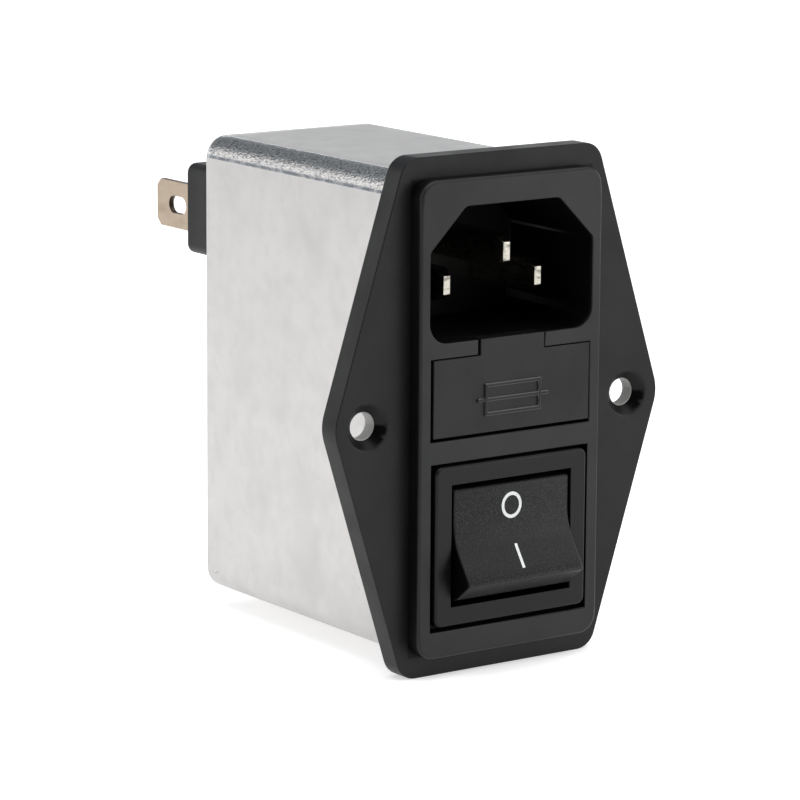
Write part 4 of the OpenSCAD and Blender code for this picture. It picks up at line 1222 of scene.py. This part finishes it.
@dataclass
class FilterCan:
    """The folded sheet sleeve, its rear cover and their spot welds."""

    sheet_mm: float = 0.6
    bend_mm: float = 3.0
    bow_mm: float = 0.05
    corner_steps: int = 12
    flat_steps: int = 10
    rows: int = 24
    cut_edge_mm: float = 0.08
    cover_edge_mm: float = 0.15
    weld_radius_mm: float = 0.9
    weld_rise_mm: float = 0.03
    weld_from_rear_mm: float = 1.9
    weld_from_foot_mm: float = 3.3

    def __post_init__(self) -> None:
        """Reads the sleeve's box."""
        self.low, self.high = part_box("can_sleeve")

    def outline(self) -> list[tuple[float, float, float, float]]:
        """Returns points round the sleeve as (x, z) with the outward direction, in metres."""
        r = self.bend_mm * MM
        half_w = self.high.x - r
        half_h = self.high.z - r
        points = []
        corners = ((1, 1), (-1, 1), (-1, -1), (1, -1))
        for quarter, (sx, sz) in enumerate(corners):
            for i in range(self.corner_steps + 1):
                a = math.pi / 2 * (quarter + i / self.corner_steps)
                c, s = math.cos(a), math.sin(a)
                points.append((sx * half_w + r * c, sz * half_h + r * s, c, s))
            # the flat up to the next corner
            next_x, next_z = corners[(quarter + 1) % 4]
            a = math.pi / 2 * (quarter + 1)
            c, s = math.cos(a), math.sin(a)
            x0, z0 = sx * half_w + r * c, sz * half_h + r * s
            run, rise = next_x * half_w + r * c - x0, next_z * half_h + r * s - z0
            for k in range(1, self.flat_steps):
                points.append((x0 + run * k / self.flat_steps, z0 + rise * k / self.flat_steps, c, s))
        return points

    def bow(self, x: float, y: float, z: float) -> float:
        """Returns how far the sheet has sprung in at a place, in metres."""
        along = math.sin(math.pi * (y - self.low.y) / (self.high.y - self.low.y))
        level = abs(z) > self.high.z - 0.01 * MM
        place, half = (x, self.high.x) if level else (z, self.high.z)
        share = min(1.0, abs(place) / (half - self.bend_mm * MM))
        return -self.bow_mm * MM * max(0.0, along) * math.cos(math.pi / 2 * share) ** 2

    def build_sleeve(self) -> Object:
        """Builds the sleeve as a closed sheet with an inner and an outer skin."""
        tool = bmesh.new()
        outline = self.outline()
        rings = []
        for row in range(self.rows + 1):
            y = self.low.y + (self.high.y - self.low.y) * row / self.rows
            ring = []
            for x, z, nx, nz in outline:
                flat = max(abs(nx), abs(nz)) > 0.999
                sink = self.bow(x, y, z) if flat else 0.0
                ring.append(tool.verts.new((x + nx * sink, y, z + nz * sink)))
            rings.append(ring)
        count = len(outline)
        for row in range(self.rows):
            for i in range(count):
                j = (i + 1) % count
                tool.faces.new((rings[row][i], rings[row][j], rings[row + 1][j], rings[row + 1][i]))
        bmesh.ops.recalc_face_normals(tool, faces=tool.faces)
        first = tool.faces[0]
        if first.normal.dot(first.calc_center_median() - Vector((0, first.calc_center_median().y, 0))) < 0:
            bmesh.ops.reverse_faces(tool, faces=tool.faces)
        piece = object_from(tool, "can_sleeve_sheet")
        sheet = piece.modifiers.new("sheet", "SOLIDIFY")
        sheet.thickness = self.sheet_mm * MM
        sheet.offset = -1.0
        sheet.use_even_offset = True
        bevel = piece.modifiers.new("cut edge", "BEVEL")
        bevel.limit_method = "ANGLE"
        bevel.angle_limit = math.radians(60)
        bevel.width = self.cut_edge_mm * MM
        bevel.segments = 2
        bake_modifiers(piece)
        shade(piece, 40)
        return piece

    def build(self, dresser: Dresser, sheet: Material) -> None:
        """Makes and dresses the can."""
        dresser.dress(self.build_sleeve(), Body.INLET, sheet, ["can_sleeve"])
        cover = soft_copy("rear_cover", "rear_cover_sheet", self.cover_edge_mm, None, 2)
        dresser.dress(cover, Body.INLET, sheet, ["rear_cover"])
        y, z = self.high.y - self.weld_from_rear_mm * MM, self.low.z + self.weld_from_foot_mm * MM
        for side in Side:
            spot = Vector(((self.high.x - 0.01 * MM) * side.value, y, z))
            turn = (0.0, side.value * math.pi / 2, 0.0)
            name = "spot_weld_" + side.name.lower()
            pattern = PointPattern(name, self.weld_radius_mm, self.weld_rise_mm, turn)
            dresser.dress(pattern.place([spot], sheet), Body.INLET, sheet)


@dataclass
class RearTerminals:
    """The blades behind the can, with the insulators that lead two of them through the cover."""

    blade_edge_mm: float = 0.1
    insulator_edge_mm: float = 0.2

    def build(
        self,
        dresser: Dresser,
        blade: Material,
        foot: Material,
        plastic: Material,
    ) -> None:
        """Makes and dresses the terminals.

        Args:
            dresser: Takes the pieces.
            blade: The outer blades' finish.
            foot: Finish of the earth blade, which has a foot on the cover.
            plastic: The insulators' finish.
        """
        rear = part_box("insulator_left")[1].y - 0.1 * MM
        for side in ("left", "right"):
            insulator = soft_copy(
                "insulator_" + side,
                "insulator_" + side + "_moulding",
                self.insulator_edge_mm,
                lambda middle, angle: 1.0 if middle.y > rear else 0.0,
            )
            dresser.dress(insulator, Body.INLET, plastic, ["insulator_" + side])
        for node, metal in (("left_tab", blade), ("right_tab", blade), ("earth_tab", foot)):
            piece = soft_copy(node, node + "_blade", self.blade_edge_mm, None, 2)
            dresser.dress(piece, Body.INLET, metal, [node])


@dataclass
class FilterBoard:
    """The circuit board and its parts, inside the can."""

    turns: int = 9
    wire_mm: float = 0.8
    wire_gap_mm: float = 0.2
    span_deg: float = 118.0
    core_inner_mm: float = 8.8
    leg_pitch_mm: tuple[tuple[str, float], ...] = (("line_capacitor", 15.0), ("load_capacitor", 10.0))
    solder_radius_mm: float = 0.9
    solder_height_mm: float = 0.7

    def build(self, dresser: Dresser, finishes: dict[str, Material]) -> None:
        """Finishes the board's parts.

        Args:
            dresser: Takes the pieces.
            finishes: A material for each node that stays as packed, by node name.
        """
        for node, material in finishes.items():
            dresser.finish_node(node, material)

    def wind_choke(self, dresser: Dresser, wire: Material) -> None:
        """Winds both halves of the choke over its core."""
        low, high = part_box("choke_core")
        centre = (low + high) / 2
        outer, height = ((high[axis] - low[axis]) / MM + self.wire_gap_mm for axis in (0, 1))
        sizes = (self.turns, self.span_deg, self.core_inner_mm, outer, height, self.wire_mm)
        winding = ToroidWinding("choke_wire", *sizes)
        for side in Side:
            node = "choke_winding_" + side.name.lower()
            piece = winding.wind(centre, side, wire)
            dresser.dress(piece, Body.INLET, wire, [node])

    def solder(self, dresser: Dresser, metal: Material) -> None:
        """Puts a solder cone round each leg of the film capacitors, behind the board."""
        low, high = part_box("filter_board")
        points = []
        y = high.y + self.solder_height_mm / 2 * MM
        for node, pitch in self.leg_pitch_mm:
            box_low, box_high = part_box(node)
            z = (box_low.z + box_high.z) / 2
            points += [Vector((side.value * pitch / 2 * MM, y, z)) for side in Side]
        turn = (-math.pi / 2, 0.0, 0.0)
        cones = PointPattern("solder_joints", self.solder_radius_mm, self.solder_height_mm, turn)
        dresser.dress(cones.place(points, metal), Body.INLET, metal)


# ---------------------------------------------------------------- studio


@dataclass
class Studio:
    """Camera, lamps, floor and surroundings."""

    azimuth_deg: float = -35.4
    elevation_deg: float = 11.215
    roll_deg: float = 0.389
    distance: float = 0.4821
    aim: tuple[float, float, float] = (-0.00877, 0.00608, 0.00073)
    lens_mm: float = 174.3
    floor_lift: float = 0.5
    floor_half: float = 1.1
    screen_deg: float = 12.0
    behind_left: RoomSteps = ((0.0, 0.12), (1.0, 0.6), (0.03, 0.12), (0.1, 1.5), (0.5, 1.8), (0.62, 0.5))
    behind_right: RoomSteps = (
        ((0.0, 0.5), (1.0, 0.5), (0.03, 2.6), (0.11, 2.6), (0.17, 0.9))
        + ((0.24, 0.45), (0.33, 0.28), (0.66, 0.22), (0.74, 1.5))
    )
    before_left: RoomSteps = ((0.0, 0.2), (1.0, 0.8), (0.2, 0.2), (0.45, 0.2), (0.75, 0.45))
    before_right: RoomSteps = (
        ((0.0, 1.0), (1.0, 0.8), (0.15, 0.9), (0.3, 1.9), (0.45, 0.9))
        + ((0.62, 0.5), (0.68, 0.5), (0.76, 2.6))
    )
    before_turn: tuple[float, float] = (-0.1, 0.5)
    behind_turn: tuple[float, float] = (-0.47, -0.36)
    behind_cool: float = 0.12
    lamps: tuple[tuple[str, Triple, float, float], ...] = (
        ("top_softbox", (-0.1, -0.15, 0.8), 0.6, 3.2),
        ("front_softbox", (0.6, -0.6, 0.06), 0.35, 1.3),
    )

    def seen_rays(self, tree: Tree) -> Node:
        """Returns 1 for rays from the camera and for those that metal or glass sends on."""
        rays = add_node(tree, "ShaderNodeLightPath").outputs
        pair = (rays["Is Glossy Ray"], rays["Is Transmission Ray"])
        mirrored = add_node(tree, "ShaderNodeMath", pair, operation="MAXIMUM")
        return add_node(tree, "ShaderNodeMath", (rays["Is Camera Ray"], mirrored), operation="MAXIMUM")

    def place_camera(self) -> None:
        """Sets the camera at the object's viewing angle."""
        a = math.radians(self.azimuth_deg)
        forward = self.view_direction()
        right = Vector((math.cos(a), math.sin(a), 0.0))
        up = right.cross(forward)
        roll = math.radians(self.roll_deg)
        right, up = right * math.cos(roll) + up * math.sin(roll), up * math.cos(roll) - right * math.sin(roll)
        data = bpy.data.cameras.new("studio_camera")
        data.lens = self.lens_mm
        data.sensor_width = 36.0
        data.clip_start = 0.01
        data.clip_end = 20.0
        camera = bpy.data.objects.new("studio_camera", data)
        turn = Matrix((right, up, -forward)).transposed().to_4x4()
        camera.matrix_world = Matrix.Translation(Vector(self.aim) - forward * self.distance) @ turn
        bpy.context.scene.collection.objects.link(camera)
        bpy.context.scene.camera = camera

    def place_lamp(self, name: str, place: tuple[float, float, float], size: float, power: float) -> None:
        """Adds a square soft lamp that faces the object.

        Args:
            name: The lamp's name.
            place: Its middle, in metres.
            size: Its side, in metres.
            power: Its power in watts.
        """
        data = bpy.data.lights.new(name, "AREA")
        data.shape = "SQUARE"
        data.size = size
        data.energy = power
        lamp = bpy.data.objects.new(name, data)
        lamp.location = place
        lamp.rotation_euler = (-Vector(place)).to_track_quat("-Z", "Y").to_euler()
        bpy.context.scene.collection.objects.link(lamp)

    def place_floor(self) -> None:
        """Adds a pale floor under the object."""
        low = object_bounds()[0]
        tool = bmesh.new()
        bmesh.ops.create_grid(tool, x_segments=2, y_segments=2, size=self.floor_half)
        bmesh.ops.translate(tool, verts=tool.verts, vec=(0.0, 0.0, low.z - 0.02 * MM))
        floor = object_from(tool, "studio_floor")
        # matt white paper: seen as plain white, darker only where the object shades it
        material, tree, shader, _ = blank_material("matt paper floor")
        shader.inputs["Base Color"].default_value = (0.85, 0.85, 0.85, 1.0)
        shader.inputs["Roughness"].default_value = 0.9
        shader.inputs["Specular IOR Level"].default_value = 0.1
        shader.inputs["Emission Color"].default_value = WHITE
        lift = add_node(tree, "ShaderNodeMath", (self.seen_rays(tree), self.floor_lift), operation="MULTIPLY")
        connect(tree, shader, Emission_Strength=lift)
        floor.data.materials.append(material)
        floor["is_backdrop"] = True

    def set_surroundings(self) -> None:
        """Sets a white room: bright behind the object up to a low ceiling line, dimmer above."""
        world = bpy.data.worlds.new("studio_room")
        bpy.context.scene.world = world
        world.use_nodes = True
        tree = world.node_tree
        tree.nodes.clear()
        way = add_node(tree, "ShaderNodeTexCoord").outputs["Generated"]
        axes = add_node(tree, "ShaderNodeSeparateXYZ", (way,)).outputs
        halves = []
        for left, right, turn, cool in (
            (self.before_left, self.before_right, self.before_turn, 0.0),
            (self.behind_left, self.behind_right, self.behind_turn, self.behind_cool),
        ):
            across = add_node(tree, "ShaderNodeMapRange", (axes["X"], *turn, 0.0, 1.0), **SMOOTH)
            sides = [self.height_ramp(tree, axes["Z"], steps, cool) for steps in (left, right)]
            halves.append(add_node(tree, "ShaderNodeMix", (across, *sides), data_type="RGBA"))
        depth = add_node(tree, "ShaderNodeMapRange", (axes["Y"], -0.3, 0.3, 0.0, 1.0), **SMOOTH)
        room = add_node(tree, "ShaderNodeMix", (depth, *halves), data_type="RGBA")
        shown = (self.seen_rays(tree), self.screen(tree, way))
        mirrored = add_node(tree, "ShaderNodeMath", shown, operation="MULTIPLY")
        camera = add_node(tree, "ShaderNodeLightPath").outputs["Is Camera Ray"]
        white = add_node(tree, "ShaderNodeMath", (camera, mirrored), operation="MAXIMUM")
        seen = add_node(tree, "ShaderNodeMix", (white, room, WHITE), data_type="RGBA")
        background = add_node(tree, "ShaderNodeBackground", {"Color": seen, "Strength": 1.0})
        add_node(tree, "ShaderNodeOutputWorld", {"Surface": background})

    def screen(self, tree: Tree, way: Socket) -> Node:
        """Returns 1 towards the white screen behind the object, for what metal and glass send on.

        Args:
            tree: The world's tree.
            way: Direction of the ray.
        """
        pair = (way, self.view_direction())
        straight = add_node(tree, "ShaderNodeVectorMath", pair, operation="DOT_PRODUCT")
        edge = math.cos(math.radians(self.screen_deg))
        return add_node(tree, "ShaderNodeMapRange", (straight, edge - 0.01, edge, 0.0, 1.0), **SMOOTH)

    def view_direction(self) -> Vector:
        """Returns the direction in which the camera looks."""
        a, e = math.radians(self.azimuth_deg), math.radians(self.elevation_deg)
        return Vector((-math.sin(a) * math.cos(e), math.cos(a) * math.cos(e), -math.sin(e)))

    def height_ramp(self, tree: Tree, height: Socket, steps: RoomSteps, cool: float) -> Node:
        """Returns the room's brightness by height above the horizon.

        Args:
            tree: The world's tree.
            height: Sine of the elevation.
            steps: Pairs of height and brightness; the first two are the ends.
            cool: How blue the dim parts are.
        """
        ramp = add_node(tree, "ShaderNodeValToRGB", {"Fac": height})
        stops = ramp.color_ramp.elements
        for number, (place, level) in enumerate(steps):
            stop = stops[number] if number < 2 else stops.new(place)
            stop.position = place
            tint = cool * max(0.0, 1.0 - level)
            stop.color = (level * (1 - tint), level, level * (1 + tint), 1.0)
        return ramp

    def build(self) -> None:
        """Builds the whole studio."""
        scene = bpy.context.scene
        scene.view_settings.view_transform = "Standard"
        self.place_camera()
        self.place_floor()
        self.set_surroundings()
        for lamp in self.lamps:
            self.place_lamp(*lamp)


# ---------------------------------------------------------------- main


def finish_palette() -> dict[str, Material]:
    """Makes every finish that the pieces use.

    Returns:
        The materials by a short trade word.
    """
    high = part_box("can_sleeve")[1]
    rear = min(high.y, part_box("rear_cover")[1].y)
    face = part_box("front_housing")[0].y
    half_width, half_height = high.x - 0.18 * MM, high.z - 0.35 * MM
    panel = Hollow(face + 0.4 * MM, half_width, half_height)
    window = Hollow(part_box("switch_body")[0].y + 0.5 * MM, half_width, half_height)
    holes = ScrewHoles(20 * MM, 1.76 * MM, 3.2 * MM)
    pivot = next(j for j in FRAME["joints"] if j["name"] == "rocker_tilt")["pos_m"][2]
    finishes = {
        # glass-filled polyester: near black, dull, with a fine eroded grain
        "housing": FlangePlastic(
            *("glass-filled polyester moulding", "#0b0b0c", 0.46, 0.35, 0.16, 0.012),
            hollow=panel,
            margin_sheen=0.25,
            holes=holes,
        ),
        "drawer": DrawerPlastic("polyester drawer moulding", "#0c0c0d", 0.48, 0.305, 0.2, 0.008, face=face),
        "bezel": HollowPlastic("polyamide bezel moulding", "#0a0a0b", 0.34, 0.225, 0.16, 0.01, hollow=window),
        # coarser grain, with a strong painted highlight on its peaks that shows as pale specks
        "rocker": RockerPlastic(
            *("grained polyamide rocker", "#0a0a0b", 0.36, 0.21, 0.15, 0.06, 10.0),
            # painted light in a band about the pivot's height
            lit_band_low=pivot - 3.5 * MM,
            lit_band_high=pivot + 0.6 * MM,
        ),
        "insulator": MouldedPlastic("polyamide insulator moulding", "#111112", 0.5, 0.29, 0.2, 0.012),
        # hot-dipped tin over steel: dull silver, crazed where it is bent
        "can": TinnedSheet(
            *("tinned steel sheet", "#c6c4c2", "#b4b4b4", 0.42, 0.18),
            *(high.x, high.z, 3.0 * MM, rear),
        ),
        # nickel over brass: pale, slightly warm
        "pin": PlatedMetal("nickel-plated brass", "#b6b2a8", "#57524b", 0.2, stain_mm=0.45),
        # tin over brass: warm grey, duller
        "blade": PlatedMetal("tin-plated brass blade", "#b3a391", "#9e8c7a", 0.4, "#4a3f38"),
        "terminal": PlatedMetal("tin-plated bronze terminal", "#cdbba8", "#b5a08a", 0.4),
        "cap": PlatedMetal("nickel-plated fuse cap", "#d6d4d0", "#b4b0aa", 0.28),
        "glass": ClearGlass("soda-lime fuse tube", "#f2f8f7", 0.02),
        # pad-printed white ink: flat and matt
        "ink": CoatedPart("white pad-printed ink", "#f1f3f3", "#e2e5e5", 0.6, 0.3, 0.004),
        "board": CoatedPart("solder-masked laminate", "#1f5a3a", "#2a6b46", 0.35, 3.0, 0.01, 0.3),
        "ferrite": CoatedPart("sintered ferrite", "#3c3d40", "#4a4b4e", 0.7, 0.4, 0.02),
        "wire": CoatedPart("enamelled copper wire", "#a4521f", "#8a3f16", 0.25, 0.5, 0.004, 0.5),
        "film": CoatedPart("capacitor box moulding", "#d8a92c", "#c99a22", 0.4, 2.0, 0.01),
        "disc": CoatedPart("dipped disc capacitor", "#2e63a8", "#3a72b8", 0.35, 1.2, 0.04, 0.3),
        "resistor": CoatedPart("lacquered resistor", "#c6a878", "#b89765", 0.45, 0.8, 0.02),
        "brown": CoatedPart("brown lead insulation", "#4b2e1c", "#573724", 0.4, 1.0, 0.01),
        "blue": CoatedPart("blue lead insulation", "#1c4a8c", "#275799", 0.4, 1.0, 0.01),
        "green": CoatedPart("green and yellow lead insulation", "#5a8a22", "#c9b52c", 0.4, 4.0, 0.01),
    }
    return {word: finish.make() for word, finish in finishes.items()}


def node_finishes(palette: dict[str, Material]) -> dict[str, Material]:
    """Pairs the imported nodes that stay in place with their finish.

    Args:
        palette: Materials by trade word.

    Returns:
        Materials by node name.
    """
    pairs = {
        "filter_board": "board",
        "choke_base": "insulator",
        "choke_core": "ferrite",
        "line_capacitor": "film",
        "load_capacitor": "film",
        "earth_capacitor_left": "disc",
        "earth_capacitor_right": "disc",
        "bleed_resistor": "resistor",
        "lead_pin_to_fuse": "brown",
        "lead_fuse_to_switch": "brown",
        "lead_pin_to_switch": "blue",
        "lead_switch_to_board_left": "blue",
        "lead_switch_to_board_right": "brown",
        "lead_earth": "green",
        "fuse_clip_left": "terminal",
        "fuse_clip_right": "terminal",
    }
    terminals = [f"switch_terminal_{way}_{side}" for way in ("in", "out") for side in ("left", "right")]
    pairs.update({node: "terminal" for node in terminals})
    return {node: palette[word] for node, word in pairs.items()}


def main() -> None:
    """Builds the studio and every piece."""
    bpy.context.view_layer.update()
    Studio().build()
    palette = finish_palette()
    dresser = Dresser()
    FrontMoulding().build(dresser, palette["housing"])
    InletPins().build(dresser, palette["pin"])
    FuseDrawer().build(dresser, palette["drawer"], palette["glass"], palette["cap"])
    RockerSwitch().build(dresser, palette["bezel"], palette["rocker"], palette["ink"])
    FilterCan().build(dresser, palette["can"])
    RearTerminals().build(dresser, palette["blade"], palette["terminal"], palette["insulator"])
    board = FilterBoard()
    board.build(dresser, node_finishes(palette))
    board.wind_choke(dresser, palette["wire"])
    board.solder(dresser, palette["terminal"])
    LOG.info("%d pieces", len(dresser.made))


if __name__ == "__main__":
    logging.basicConfig(level=logging.INFO, format="%(name)s %(message)s")
    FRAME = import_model()
    main()
